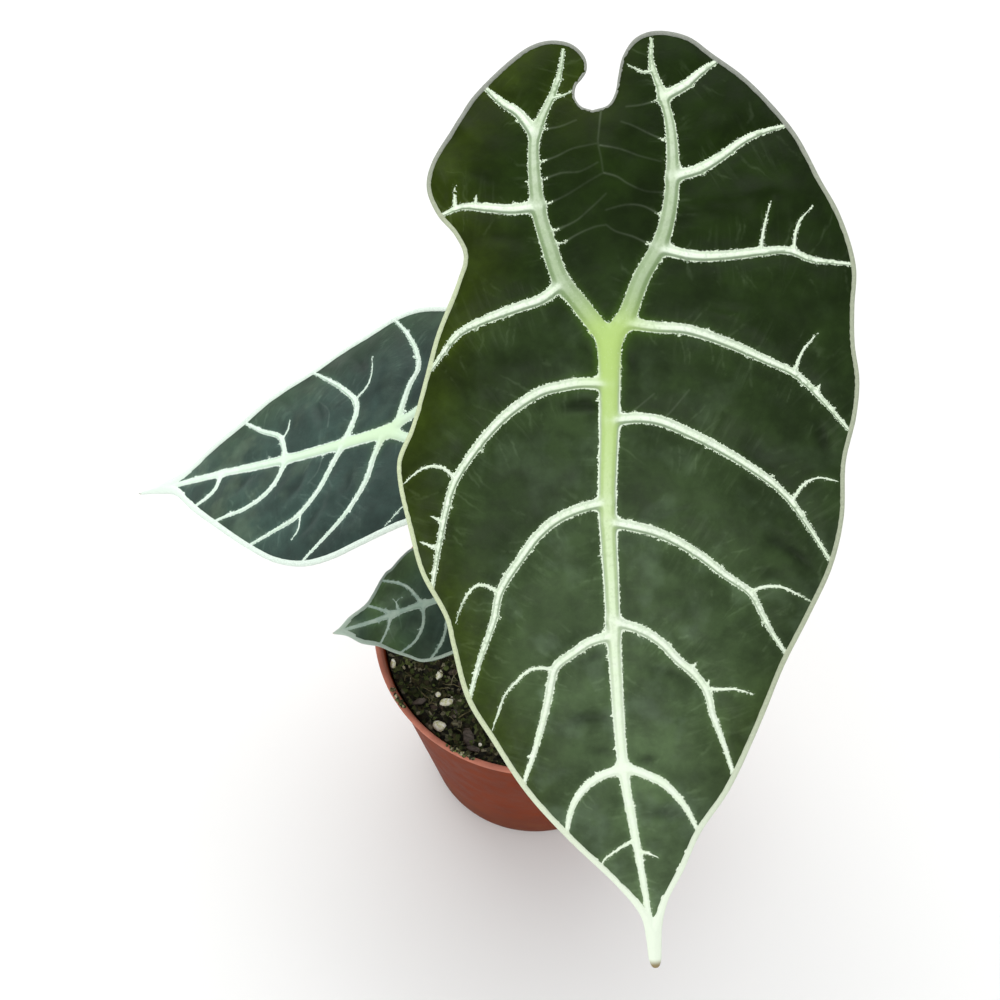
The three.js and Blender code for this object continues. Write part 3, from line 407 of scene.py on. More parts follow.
# %% Medium leaf
MEDIUM = {
    "name": "leaf_medium", "attach": (-43.5, 6.3, 185.6), "turn": (31, 8, -102), "droop": 0.0007,
    "arch": 0.001, "pillow": 1.4, "ripple": 1.0, "ripples": 3, "rim": 1.4, "cell": 1.0, "fine": 0.27,
    "drip": 13,
    "spine_widths": (4.0, 1.2), "back_widths": (2.9, 1.0), "side_widths": (1.8, 0.6), "twig_width": 0.6,
    "grey_margin": (0.1, 0.1, 0.1),
    "midrib": [(0, 0), (1.5, 15), (3, 36), (3, 65), (3, 85), (2.5, 96)],
    "outlines": [
        [(0, -31), (2.5, -33), (4, -38), (8, -43), (15, -41), (22, -33), (27, -22), (29.7, -10), (34.4, 3),
         (37, 12), (37.6, 22.5), (34.7, 35), (29.3, 46), (20.8, 60), (13.8, 71), (6, 82), (4, 90),
         (2.5, 99)],
        [(0, -31), (-3, -34), (-5, -40), (-10, -45), (-19, -44), (-29, -36), (-36, -24), (-39, -11),
         (-39.8, -3), (-38.5, 5), (-35.2, 14), (-32, 23.6), (-27, 33.3), (-20.4, 46.5), (-13.3, 57),
         (-7.4, 68.4), (-1, 79), (1.3, 88), (2.5, 99)],
    ],
    "backs": [
        [(0, 0), (4, -9), (8.5, -18), (11, -27), (10.5, -36), (10, -42)],
        [(0, 0), (-5, -9), (-10, -18), (-12.5, -28), (-12, -37), (-11.5, -44)],
    ],
    "sides": [
        [(9, -20), (16, -19.5), (22, -18), (28, -16)],
        [(1, 1), (8, 3.3), (14, 4.3), (18.9, 6.5), (24.8, 10.4), (29.3, 14.9), (36.5, 24)],
        [(1.7, 15), (8.2, 18.2), (14.4, 21), (18.5, 24.2), (22.5, 28.5), (25.2, 35.5), (29, 46)],
        [(3, 36), (10, 38.8), (14, 43), (16.8, 49.4), (18.2, 56.3), (19.5, 62)],
        [(3.2, 62), (8, 63.4), (10.4, 66.5), (12.5, 72)],
        [(-11, -21), (-19, -22), (-27, -22), (-36, -21)],
        [(-2, -3), (-13.7, -4.8), (-19.3, -6.8), (-25.7, -4.7), (-32.4, 0), (-38.5, 6)],
        [(0.5, 15), (-3.8, 13.5), (-7.9, 12.6), (-11.6, 13.4), (-17.5, 19.9), (-21.9, 26.6),
         (-26.5, 34.5)],
        [(3, 37), (-0.6, 37.8), (-5, 40.4), (-8.5, 48.5), (-13.5, 57.5)],
    ],
    "twigs": [
        [(-4.2, 39.4), (-7.1, 37.4), (-10.1, 37.4)],
        [(-12.4, 14), (-15.8, 10.3), (-19.9, 9.1), (-26.3, 10.6)],
        [(21.2, 26.8), (26.5, 26.6), (29.5, 28.6)],
        [(24.2, -11), (27.8, -6.6), (29.9, -4.6)],
    ],
    "hair_veins": [[(4, 22), (9, 22.5), (13, 25.5)], [(-5, 22), (-10, 22.5), (-14, 27)]],
    "dents": [
        (12, 30, 30, 6, 2, 1.0), (24, 22, 40, 6, 2, 1.0), (-10, 26, -30, 6, 2, 1.0),
        (-24, 14, -40, 6, 2, 0.9), (8, 52, 50, 5, 2, 0.9), (14, 11, 20, 5, 2, 0.9),
        (-16, 40, -50, 5, 2, 0.8),
    ],
}
print("medium leaf:", len(MEDIUM["sides"]), "side ribs,", len(MEDIUM["twigs"]), "twigs")

# %% Small leaf
SMALL = {
    "name": "leaf_small", "attach": (-28, -5.7, 112), "turn": (26, 8, -90), "droop": 0.002, "arch": 0.003,
    "pillow": 0.8, "ripple": 0.6, "ripples": 2, "rim": 0.76, "cell": 0.7, "fine": 0.22, "drip": 5,
    "spine_widths": (2.1, 0.75), "back_widths": (1.5, 0.7), "side_widths": (0.92, 0.5), "twig_width": 0.36,
    "grey_margin": (0.9, 0.1, 0.6),
    "midrib": [(0, 0), (0.3, 13), (0.9, 20), (1.3, 28), (1.2, 36), (1, 41.5)],
    "outlines": [
        [(0, -13), (2, -15), (4, -19), (8, -20), (13, -17), (16, -10), (17.5, -1), (18.6, 6), (18.2, 11),
         (16, 15), (13, 20.6), (9.6, 26), (6.9, 32.5), (3, 38), (1, 43)],
        [(0, -13), (-2.5, -15), (-4.5, -19), (-9, -20.5), (-15, -17), (-19.5, -8), (-21.5, 3),
         (-19.5, 13), (-17.1, 16.8), (-14.9, 19.6), (-14, 21.8), (-11.4, 24.4), (-8.8, 26.4),
         (-5.6, 29.4), (-4.2, 32.2), (-2.7, 36), (-0.3, 39.8), (1, 43)],
    ],
    "backs": [
        [(0, 0), (2.5, -5), (5, -10), (6, -15), (7, -19)],
        [(0, 0), (-3, -5), (-6, -10), (-7.5, -15), (-8, -19.5)],
    ],
    "sides": [
        [(0, 0.5), (4, 0), (7.7, 1), (10.1, 1.5), (13, 2.8), (15.2, 4.4), (18.3, 7.5)],
        [(0.2, 8), (1, 8.6), (3.6, 8.7), (6.8, 9.1), (9.7, 10.6), (11.8, 12.5), (13.1, 15.2), (14.3, 18.5)],
        [(0.9, 19.3), (2, 20.6), (4.4, 21.5), (6.4, 22.7), (10, 25.4)],
        [(-0.5, 0.5), (-7, 0), (-14, 3), (-20, 9)],
        [(0.2, 8.3), (-0.9, 9.5), (-2.9, 10.9), (-5.8, 12.9), (-8.3, 15.8), (-9.5, 18), (-10.6, 20.6),
         (-11.8, 24)],
        [(0.9, 19.3), (-1.2, 22.7), (-2.8, 25.6), (-4.2, 28.3), (-5.2, 30)],
    ],
    "twigs": [
        [(0.1, 17.5), (-1.7, 17.8), (-3.2, 18.5), (-4.3, 19.4)],
        [(-2.8, 18.2), (-3.6, 17.4), (-4, 15.9)],
    ],
    "hair_veins": [[(0.8, 17.6), (3.9, 17), (6.6, 16.8)], [(4.4, 21.5), (7.3, 20.5), (9.9, 19.3)]],
    "dents": [(8, 5, 15, 4, 1.5, 0.6), (-9, 7, -15, 4, 1.5, 0.6), (6, 16, 30, 3, 1.2, 0.5)],
}

LEAVES = (LARGE, MEDIUM, SMALL)
print("small leaf:", len(SMALL["sides"]), "side ribs,", len(SMALL["twigs"]), "twigs")

# %% [markdown]
# ## Smooth curves
# A rib or a margin is one fair sweep. Blender's own curve objects could draw it, but the leaf needs
# its points as numbers. This is a centripetal Catmull-Rom curve: it passes through every drawn point
# and doesn't loop where two of them lie close together.

# %% Smooth curves
CURVE_PARTS = 24


def smooth_line(points, step):
    """A curve through the points, as even steps of about step millimetres."""
    p = np.asarray(points, float)
    p = np.vstack([2 * p[0] - p[1], p, 2 * p[-1] - p[-2]])
    t = np.linspace(0, 1, CURVE_PARTS, endpoint=False)[:, None]
    stretches = []
    for p0, p1, p2, p3 in zip(p, p[1:], p[2:], p[3:]):
        d0, d1, d2 = (math.sqrt(np.linalg.norm(b - a)) for a, b in ((p0, p1), (p1, p2), (p2, p3)))
        leave = ((p1 - p0) / d0 - (p2 - p0) / (d0 + d1) + (p2 - p1) / d1) * d1
        arrive = ((p2 - p1) / d1 - (p3 - p1) / (d1 + d2) + (p3 - p2) / d2) * d1
        stretches.append(
            (2 * t**3 - 3 * t**2 + 1) * p1 + (t**3 - 2 * t**2 + t) * leave
            + (3 * t**2 - 2 * t**3) * p2 + (t**3 - t**2) * arrive
        )
    line = np.vstack([*stretches, p[-2:-1]])
    run = np.concatenate([[0], np.cumsum(np.linalg.norm(np.diff(line, axis=0), axis=1))])
    at = np.linspace(0, run[-1], max(2, round(run[-1] / step) + 1))
    return np.column_stack([np.interp(at, run, line[:, k]) for k in range(line.shape[1])])


print("right half of the large margin:", len(smooth_line(LARGE["outlines"][0], 1)) - 1, "mm")

# %% [markdown]
# ## Distances
# Two questions shape a whole leaf: how far is a point from the nearest rib, and how far from the
# margin? A rib is raised where that distance is small, and the blade swells where it is large.
# Sculpting would give the same form by hand, but distances give it exactly and for every leaf.

# %% Distances
PAIRS_AT_ONCE = 2_000_000
FAR = 30.0


def nearest(points, line):
    """For each point, its distance from a line and how far along the line it lies."""
    start, way = line[:-1], np.diff(line, axis=0)
    length = np.linalg.norm(way, axis=1)
    before = np.concatenate([[0], np.cumsum(length)[:-1]])
    distances, places = [], []
    for block in np.array_split(points, len(points) * len(line) // PAIRS_AT_ONCE + 1):
        off_x = block[:, :1] - start[:, 0]
        off_y = block[:, 1:] - start[:, 1]
        share = np.clip((off_x * way[:, 0] + off_y * way[:, 1]) / length**2, 0, 1)
        distance = np.hypot(off_x - share * way[:, 0], off_y - share * way[:, 1])
        best = distance.argmin(axis=1)
        row = np.arange(len(block))
        distances.append(distance[row, best])
        places.append(before[best] + share[row, best] * length[best])
    return np.concatenate(distances), np.concatenate(places)


def nearest_of(points, lines):
    """Distance to the nearest of several lines, and how far along it."""
    distance, place = np.full(len(points), FAR), np.zeros(len(points))
    for line in lines:
        found, along = nearest(points, line)
        closer = found < distance
        distance[closer], place[closer] = found[closer], along[closer]
    return distance, place


def inset(loop, depth):
    """A closed loop moved inwards by depth."""
    ahead = np.roll(loop, -1, axis=0) - np.roll(loop, 1, axis=0)
    out = np.column_stack([ahead[:, 1], -ahead[:, 0]]) / np.linalg.norm(ahead, axis=1)[:, None]
    area = np.sum(loop[:, 0] * np.roll(loop[:, 1], -1) - np.roll(loop[:, 0], -1) * loop[:, 1])
    return loop - math.copysign(depth, area) * out


# %% [markdown]
# ## Ribs, twigs and spurs
# A rib is a line with a width that thins towards its end. The midrib thins evenly. A side rib keeps
# its width until it nears the margin, and it is thinner the nearer the tip it starts. Twigs branch
# off the side ribs, and short spurs stand out from every rib here and there. The spurs could be
# drawn one by one, but a seeded random draw spreads them as unevenly as on the real leaf.

# %% Ribs, twigs and spurs
RIB_STEP = 1.6
TWIG_STEP = 0.9
HAIR_VEIN_STEP = 0.5
MARGIN_SHARE = 0.6
SPUR_STEPS = (7, 20)
SPUR_REACH = (0.25, 1.1)
SPUR_LEAN = 0.45
FIRST_SPUR = (3, 8)
SPUR_END_GAP = 5
SIDE_THINS = 0.28
VEIN_ROOT_STEPS = 3
VEIN_ROOT_REACH = 4


def even_taper(share):
    """A rib that thins evenly all the way, as a midrib does."""
    return 1 - share


def late_taper(share):
    """A rib that keeps its width until it comes near the margin."""
    return 1 - share**1.9


def rib_along(points, widths, taper, spine):
    line = smooth_line(points, RIB_STEP)
    return {"line": line, "length": np.linalg.norm(np.diff(line, axis=0), axis=1).sum(),
            "halves": (widths[0] / 2, widths[1] / 2), "taper": taper, "spine": spine}


def side_rib(leaf, points):
    """A side rib; the nearer the tip it starts, the thinner it is."""
    toward_tip = max(0, points[0][1]) / leaf["outlines"][0][-1][1]
    wide, narrow = leaf["side_widths"]
    return rib_along(points, (wide * (1 - SIDE_THINS * toward_tip), narrow), late_taper, 0)


def half_width(rib, place):
    wide, narrow = rib["halves"]
    return narrow + (wide - narrow) * rib["taper"](np.clip(place / rib["length"], 0, 1))


def rooted(points, ribs):
    """A twig's points, led back to the middle of the rib that it grows from."""
    start = np.array(points[:1], float)
    lines = [rib["line"] for rib in ribs]
    line = min(lines, key=lambda line: nearest(start, line)[0][0])
    foot = line[np.linalg.norm(line - start, axis=1).argmin()]
    return [tuple(foot), *points]


def spurs_of(rib, draw):
    """Short side veins that stand out from a rib here and there, as straight lines."""
    found = []
    run = np.arange(len(rib["line"])) * RIB_STEP
    at = draw.uniform(*FIRST_SPUR)
    while at < rib["length"] - SPUR_END_GAP:
        here = np.array([np.interp(at, run, axis) for axis in rib["line"].T])
        ahead = rib["line"][min(int(at / RIB_STEP) + 1, len(rib["line"]) - 1)] - here
        ahead /= np.linalg.norm(ahead)
        out = draw.choice([-1, 1]) * np.array([-ahead[1], ahead[0]])
        way = out * math.cos(SPUR_LEAN) + ahead * math.sin(SPUR_LEAN)
        reach = half_width(rib, at) + draw.uniform(*SPUR_REACH)
        found.append((here, here + way * reach))
        at += draw.uniform(*SPUR_STEPS)
    return found


def prepare(leaf):
    """Adds the leaf's margin loop, its ribs and its twigs."""
    right, left = (smooth_line(outline, leaf["cell"] * MARGIN_SHARE) for outline in leaf["outlines"])
    leaf["loop"] = np.vstack([right, left[::-1][1:-1]])
    leaf["ribs"] = [rib_along(leaf["midrib"], leaf["spine_widths"], even_taper, 1)]
    leaf["ribs"] += [rib_along(back, leaf["back_widths"], late_taper, 1) for back in leaf["backs"]]
    leaf["ribs"] += [side_rib(leaf, side) for side in leaf["sides"]]
    leaf["fine_twigs"] = [smooth_line(rooted(points, leaf["ribs"]), TWIG_STEP) for points in leaf["twigs"]]
    leaf["hairs"] = [smooth_line(points, HAIR_VEIN_STEP) for points in leaf["hair_veins"]]
    roots = [rooted(line[:VEIN_ROOT_STEPS].tolist(), leaf["ribs"]) for line in leaf["hairs"]]
    draw = np.random.default_rng(len(leaf["ribs"]))
    leaf["spurs"] = [np.array(spur) for rib in leaf["ribs"] for spur in spurs_of(rib, draw)]
    leaf["spurs"] += [np.array(root) for root in roots if math.dist(*root[:2]) < VEIN_ROOT_REACH]


for leaf in LEAVES:
    prepare(leaf)
    print(leaf["name"], "margin", len(leaf["loop"]), "points, ribs", len(leaf["ribs"]),
          "spurs", len(leaf["spurs"]))

# %% [markdown]
# ## Gaps to the ribs and twigs
# The gap is the distance to a rib's edge, and it is negative inside the rib. Where two ribs meet,
# their gaps are joined with a soft minimum, so that the fork is rounded as on the real leaf. A hard
# minimum would leave a sharp corner in every fork.

# %% Gaps to the ribs and twigs
FILLET = 0.6
QUILT_REACH = 4.2
PLACE_STEP = 37


def rib_measure(leaf, flat):
    """Gap to the ribs, their half width and what is nearest, at each flat point. The lee is 1 on the
    side of a rib that looks to the tip and -1 on the other."""
    gaps, halves, places, lees = [], [], [], []
    for number, rib in enumerate(leaf["ribs"]):
        distance, place = nearest(flat, rib["line"])
        halves.append(half_width(rib, place))
        gaps.append(distance - halves[-1])
        places.append(place + PLACE_STEP * number)
        run = np.linspace(0, rib["length"], len(rib["line"]))
        lees.append((flat[:, 1] - np.interp(place, run, rib["line"][:, 1])) / halves[-1])
    gaps, halves, places, lees = map(np.array, (gaps, halves, places, lees))
    pull = np.exp(-np.minimum(gaps, FAR) / FILLET)
    total = pull.sum(axis=0)
    ordered = np.sort(gaps, axis=0)
    spine = (pull.T * [rib["spine"] for rib in leaf["ribs"]]).sum(axis=1) / total
    return {
        "gap": -FILLET * np.log(total),
        "half": (pull * halves).sum(axis=0) / total,
        "spine": spine,
        "place": places[gaps.argmin(axis=0), np.arange(len(flat))],
        "lee": np.clip((pull * lees).sum(axis=0) / total, -1, 1),
        "clear": (ordered[1] - ordered[0]) / (np.abs(ordered[1]) + np.abs(ordered[0]) + 0.1),
        "quilt": np.prod(1 - np.exp(-np.maximum(gaps, 0) / QUILT_REACH), axis=0),
    }


TWIG_END = 0.3
SPUR_END = 0.2
SPUR_HALF = 0.32
TWIG_LOOK = 3
THINNEST = 0.1


def twig_measure(leaf, flat):
    """Gap to the nearest twig or spur, and that one's half width."""
    gap = np.full(len(flat), FAR)
    half = np.full(len(flat), THINNEST)
    lines = [(line, leaf["twig_width"] / 2, TWIG_END) for line in leaf["fine_twigs"]]
    lines += [(spur, leaf["twig_width"] * SPUR_HALF, SPUR_END) for spur in leaf["spurs"]]
    for line, wide, end in lines:
        low, high = line.min(axis=0) - TWIG_LOOK, line.max(axis=0) + TWIG_LOOK
        near = np.nonzero(((flat > low) & (flat < high)).all(axis=1))[0]
        if len(near) == 0:
            continue
        distance, place = nearest(flat[near], line)
        length = np.linalg.norm(np.diff(line, axis=0), axis=1).sum()
        thick = wide * (1 - (1 - end) * (place / length) ** 1.2)
        closer = distance - thick < gap[near]
        half[near[closer]] = thick[closer]
        gap[near[closer]] = (distance - thick)[closer]
    return gap, half


# %% [markdown]
# ## Everything that shapes a leaf
# The ribs, the twigs and the margin are measured together. The margin's pale bead is thin round the
# notch, and it widens down the lower half and most of all at the tip. The quilt is how freely the
# blade can swell. It is 0 on a rib or at the margin and 1 far from both, and the product of all those
# factors has no creases.

# %% Everything that shapes a leaf
FINE_FILLET = 0.22
TWIG_PULL = 0.3
TWIG_PULL_REACH = 1.5
NOTCH_CENTRE = (0, 5)
NOTCH_REACH = 15
NOTCH_THINS = 0.45
TIP_REACH = 18
TIP_WIDENS = 0.7
LOW_WIDENS = 0.35


def soft_join(rib, twig):
    """The smaller of two gaps, rounded where they are alike."""
    both = np.exp(-rib / FINE_FILLET) + np.exp(-np.minimum(twig, 6) / FINE_FILLET)
    return np.where(rib > 4, np.minimum(rib, twig), -FINE_FILLET * np.log(both))


def rim_width(leaf, flat):
    """How wide the margin's pale bead is near each flat point."""
    tip = leaf["outlines"][0][-1]
    notch = np.array(leaf["outlines"][0][0]) - NOTCH_CENTRE
    near_notch = np.exp(-(np.linalg.norm(flat - notch, axis=1) / NOTCH_REACH) ** 2)
    near_tip = np.exp(-(np.linalg.norm(flat - tip, axis=1) / TIP_REACH) ** 2)
    low_half = np.clip(flat[:, 1] / tip[1] * 2 - 0.6, 0, 1)
    width = leaf["rim"] * (1 - NOTCH_THINS * near_notch) * (1 + LOW_WIDENS * low_half)
    return width * (1 + TIP_WIDENS * near_tip)


def measure(leaf, flat):
    """What the leaf is like at each flat point, as a dictionary of arrays."""
    facts = rib_measure(leaf, flat)
    twig, twig_half = twig_measure(leaf, flat)
    share = 1 / (1 + np.exp(np.clip((twig - facts["gap"]) / FINE_FILLET, -FAR, FAR)))
    facts["half"] = facts["half"] * (1 - share) + twig_half * share
    facts["spine"] = facts["spine"] * (1 - share)
    facts["gap"] = soft_join(facts["gap"], twig)
    facts["margin"], _ = nearest(flat, np.vstack([leaf["loop"], leaf["loop"][:1]]))
    facts["rim"] = rim_width(leaf, flat)
    facts["quilt"] *= 1 - np.exp(-np.maximum(facts["margin"] - facts["rim"], 0) / QUILT_REACH)
    facts["quilt"] *= 1 - TWIG_PULL * np.exp(-np.maximum(twig, 0) / TWIG_PULL_REACH)
    return facts


middle_of_blade = measure(LARGE, np.array([[20.0, 75.0]]))
print("middle of a large panel: gap", round(middle_of_blade["gap"][0], 1), "mm to the nearest rib")

# %% [markdown]
# ## The surface of a blade
# Between two ribs the blade swells like a quilt. The margin waves a little, the whole blade droops
# and arches, and slow noise keeps the swelling uneven. The few deep folds that the photograph shows
# are dents with a place, an angle and a depth of their own. A cloth simulation could puff the panels
# up, but it wouldn't put a fold where the real leaf has one. Last, the leaf is hung on its stalk.

# %% The surface of a blade
WAVE_STEP = 3
WAVE_BLUR = 0.5
WAVE_FALLS = 3
DENT_BEND = 0.02
DENT_CLEARANCE = 0.8
SWELL_PATCH = 13
DIMPLE_PATCH = 6
UNEVEN = 0.35


def margin_wave(leaf, flat, margin):
    """The wave of the margin, dying away towards the spine."""
    waves, spots = [], []
    for outline in leaf["outlines"]:
        line = smooth_line(outline, WAVE_STEP)
        place = np.linspace(0, 1, len(line))
        spots.append(line)
        waves.append(leaf["ripple"] * np.sin(2 * np.pi * leaf["ripples"] * place) * np.sin(np.pi * place))
    spots, waves = np.vstack(spots), np.concatenate(waves)
    wave = np.zeros(len(flat))
    for rows in np.array_split(np.arange(len(flat)), len(flat) * len(spots) // PAIRS_AT_ONCE + 1):
        distance = np.linalg.norm(flat[rows, None] - spots[None], axis=2) + WAVE_BLUR
        weight = distance**-WAVE_FALLS
        wave[rows] = (weight * waves).sum(axis=1) / weight.sum(axis=1)
    spine = np.min([nearest(flat, rib["line"])[0] for rib in leaf["ribs"][:3]], axis=0)
    return wave * spine / (spine + margin + 0.01)


def dents_at(leaf, flat):
    """How deep the leaf's dents are at each flat point; a swelling counts as less than nothing."""
    total = np.zeros(len(flat))
    for across, along, angle, length, width, depth in leaf["dents"]:
        way = math.radians(angle)
        off = flat - (across, along)
        lengthwise = off @ (math.cos(way), math.sin(way))
        sideways = off @ (-math.sin(way), math.cos(way)) - DENT_BEND * lengthwise**2
        total += depth * np.exp(-((lengthwise / length) ** 2)) * np.exp(-((sideways / width) ** 2))
    return total


def surface_height(leaf, flat, facts):
    """The height of the blade's middle over each flat point."""
    across, along = flat.T
    height = -leaf["droop"] * along**2 - leaf["arch"] * across**2
    swell = leaf["pillow"] * facts["quilt"]
    height += swell * (1 + UNEVEN * (cloudy(flat, SWELL_PATCH, 3.3) + cloudy(flat, DIMPLE_PATCH, 9.1)))
    height += margin_wave(leaf, flat, facts["margin"])
    return height - dents_at(leaf, flat) * (1 - np.exp(-np.maximum(facts["gap"], 0) / DENT_CLEARANCE))


def hang(leaf, flat, height):
    """Flat points with a height, turned and moved to where the leaf hangs."""
    dip, bank, heading = (math.radians(angle) for angle in leaf["turn"])
    turn = Matrix.Rotation(heading, 3, "Z") @ Matrix.Rotation(dip, 3, "X") @ Matrix.Rotation(bank, 3, "Y")
    local = np.column_stack([flat[:, 0], -flat[:, 1], height])
    return local @ np.array(turn).T + np.array(leaf["attach"])


middle_height = surface_height(LARGE, np.array([[20.0, 75.0]]), middle_of_blade)[0]
print("middle of a large panel:", round(middle_height, 1), "mm from the plane of the stalk's end")

# %% [markdown]
# ## Cutting the sheet into triangles
# The flat leaf is filled with points: a coarse honeycomb over the blade and a fine one along ribs
# and margin. A Delaunay triangulation joins them and keeps the margin as a hard edge. A plain grid
# would leave steps along the margin, and a subdivided outline would waste points.


# %% Triangles
def honeycomb(low, high, step):
    """Points step apart, each with six neighbours, that cover the box from low to high."""
    rise = step * math.sqrt(0.75)
    rows = np.arange(math.floor(low[1] / rise), math.ceil(high[1] / rise) + 1)
    columns = np.arange(math.floor(low[0] / step), math.ceil(high[0] / step) + 1)
    x = (columns[None, :] + 0.5 * (rows[:, None] % 2)) * step
    y = np.broadcast_to(rows[:, None] * rise, x.shape)
    return np.column_stack([x.ravel(), y.ravel()])


def points_along(lines, reaches, step, stretch=12):
    """Honeycomb points within reach of each line."""
    kept = []
    for line, reach in zip(lines, reaches):
        for start in range(0, len(line) - 1, stretch):
            part = line[start : start + stretch + 1]
            spots = honeycomb(part.min(axis=0) - reach, part.max(axis=0) + reach, step)
            distance, _ = nearest(spots, part)
            kept.append(spots[distance < reach])
    return np.unique(np.round(np.vstack(kept), 4), axis=0)


def triangulate(loop, loose, creases=()):
    """Flat points and triangles that fill the loop and keep the creases as edges."""
    coords = [loop, loose]
    edges = [(i, (i + 1) % len(loop)) for i in range(len(loop))]
    count = len(loop) + len(loose)
    for line in creases:
        edges += [(count + i, count + i + 1) for i in range(len(line) - 1)]
        coords.append(line)
        count += len(line)
    corners = [Vector(pair) for pair in np.vstack(coords).tolist()]
    points, _, faces, *_ = delaunay_2d_cdt(corners, edges, [], 1, 1e-5)
    faces = np.array([face for face in faces if len(face) == 3])
    points = np.array([tuple(point) for point in points])
    used, faces = np.unique(faces, return_inverse=True)
    return points[used], faces.reshape(-1, 3)


def closed_sheet(faces, count):
    """Faces of a sheet with a top, a bottom that follows count points later, and a wall."""
    edges = np.vstack([faces[:, [0, 1]], faces[:, [1, 2]], faces[:, [2, 0]]])
    keys = edges[:, 0] * count + edges[:, 1]
    lone = edges[~np.isin(keys, edges[:, 1] * count + edges[:, 0])]
    top = faces[:, ::-1]
    wall = np.column_stack([lone[:, 0], lone[:, 1], lone[:, 1] + count, lone[:, 0] + count])
    kinds = np.repeat([0, 1, 0], [len(top), len(faces), len(wall)])
    return [*top.tolist(), *(faces + count).tolist(), *wall.tolist()], kinds


panel_points = honeycomb((0, 0), (10, 10), LARGE["cell"])
print(f"honeycomb: {len(panel_points)} points on a square of 10 mm")

# %% [markdown]
# ## Blade
# The blade is a closed sheet. Its top is quilted, and below each rib runs a rounded keel, as on
# the real leaf, where the ribs stand out more on the back than on the face. A Solidify modifier
# would give it one thickness all over, so the top and the bottom are set apart point by point.

# %% Blade shape
BLADE_HALF = 0.4
BLADE_INSET = 0.15
RIB_MARGIN = 0.7
RIB_CELL = 0.62
KEEL_BASE = 0.1
KEEL_SHARE = 0.45
HAIR_REACH = 0.6
HAIR_STEP = 0.28
HAIR_WIDTH = 0.22
HAIR_FADES = 6
HAIR_RISE = 0.12
PAINTED_SHEEN_REACH = 30
OLIVE_REACH = 11
HEART_REACH = 15
HEART_EDGE = 1.5


def blade_sheet(leaf):
    """The blade's flat points and triangles, fine along the ribs and finer along the hair veins."""
    ribs = leaf["ribs"]
    near = [rib["halves"][0] + RIB_MARGIN for rib in ribs]
    close = points_along([rib["line"] for rib in ribs], near, leaf["cell"] * RIB_CELL)
    loop = inset(leaf["loop"], BLADE_INSET)
    wide = honeycomb(loop.min(axis=0), loop.max(axis=0), leaf["cell"])
    from_rib = np.min([nearest(wide, rib["line"])[0] - reach for rib, reach in zip(ribs, near)], axis=0)
    loose = np.vstack([close, wide[from_rib > 0.3 * leaf["cell"]]])
    beside = points_along(leaf["hairs"], [HAIR_REACH] * len(leaf["hairs"]), HAIR_STEP)
    loose = np.vstack([loose[nearest_of(loose, leaf["hairs"])[0] > HAIR_REACH + 0.3], beside])
    from_edge, _ = nearest(loose, np.vstack([loop, loop[:1]]))
    return triangulate(loop, loose[from_edge > 0.4 * leaf["cell"]])


def blade_numbers(leaf, flat, facts, hair):
    """What the blade's finish reads. Olive is strong at the lower left margin, the painted sheen lies
    along the midrib, the painted dent shade lies in the dents, and the heart is where the ribs meet."""
    share = flat[:, 1] / flat[:, 1].max()
    low_half = np.clip(share * 2 - 0.2, 0, 1)
    olive = np.exp(-facts["margin"] / OLIVE_REACH) * np.clip(0.5 - flat[:, 0] / 50 + 0.6 * low_half, 0, 1)
    olive *= np.clip(4 - 5 * share, 0.15, 1)
    from_midrib, _ = nearest(flat, leaf["ribs"][0]["line"])
    heart = np.exp(-np.linalg.norm(flat, axis=1) / HEART_REACH)
    heart *= np.exp(-np.maximum(facts["gap"], 0) / HEART_EDGE)
    return {
        "rib_gap": facts["gap"], "rib_place": facts["place"], "rib_clear": facts["clear"],
        "painted_sheen": np.exp(-((from_midrib / PAINTED_SHEEN_REACH) ** 2)), "hair": hair, "olive": olive,
        "heart": heart, "painted_dent_shade": dents_at(leaf, flat), "along": share,
    }


def blade_piece(leaf, finishes):
    flat, faces = blade_sheet(leaf)
    facts = measure(leaf, flat)
    from_hair, hair_run = nearest_of(flat, leaf["hairs"])
    hair = np.exp(-((from_hair / HAIR_WIDTH) ** 2)) * (0.25 + 0.75 * np.exp(-hair_run / HAIR_FADES))
    middle = surface_height(leaf, flat, facts) + HAIR_RISE * hair
    across = np.clip(1 + facts["gap"] / facts["half"], 0, 1)
    keel = (KEEL_BASE + KEEL_SHARE * facts["half"]) * (1 - across**2)
    top = hang(leaf, flat, middle + BLADE_HALF)
    bottom = hang(leaf, flat, middle - BLADE_HALF - keel)
    numbers = blade_numbers(leaf, flat, facts, hair)
    quads, kinds = closed_sheet(faces, len(flat))
    return make_piece(
        f"{leaf['name']}_quilted_blade", np.vstack([top, bottom]), quads, finishes,
        {label: np.tile(values, 2) for label, values in numbers.items()}, kinds,
    )


# %% [markdown]
# ## Rib net
# On the face of the leaf the ribs are pale cords. Each is a dome that stands on a thin flange, and
# the flange is finely toothed, with a short spur here and there. The margin is a bead that wraps
# round the edge of the blade. Every edge runs on a little below the blade, so that the two surfaces
# meet in a clean line. A tube along each rib would be simpler, but it can't flow together at the
# forks as a real rib does.

# %% Points of the rib net
TOOTH_ZONE = 0.45
TWIG_ZONE = 0.75


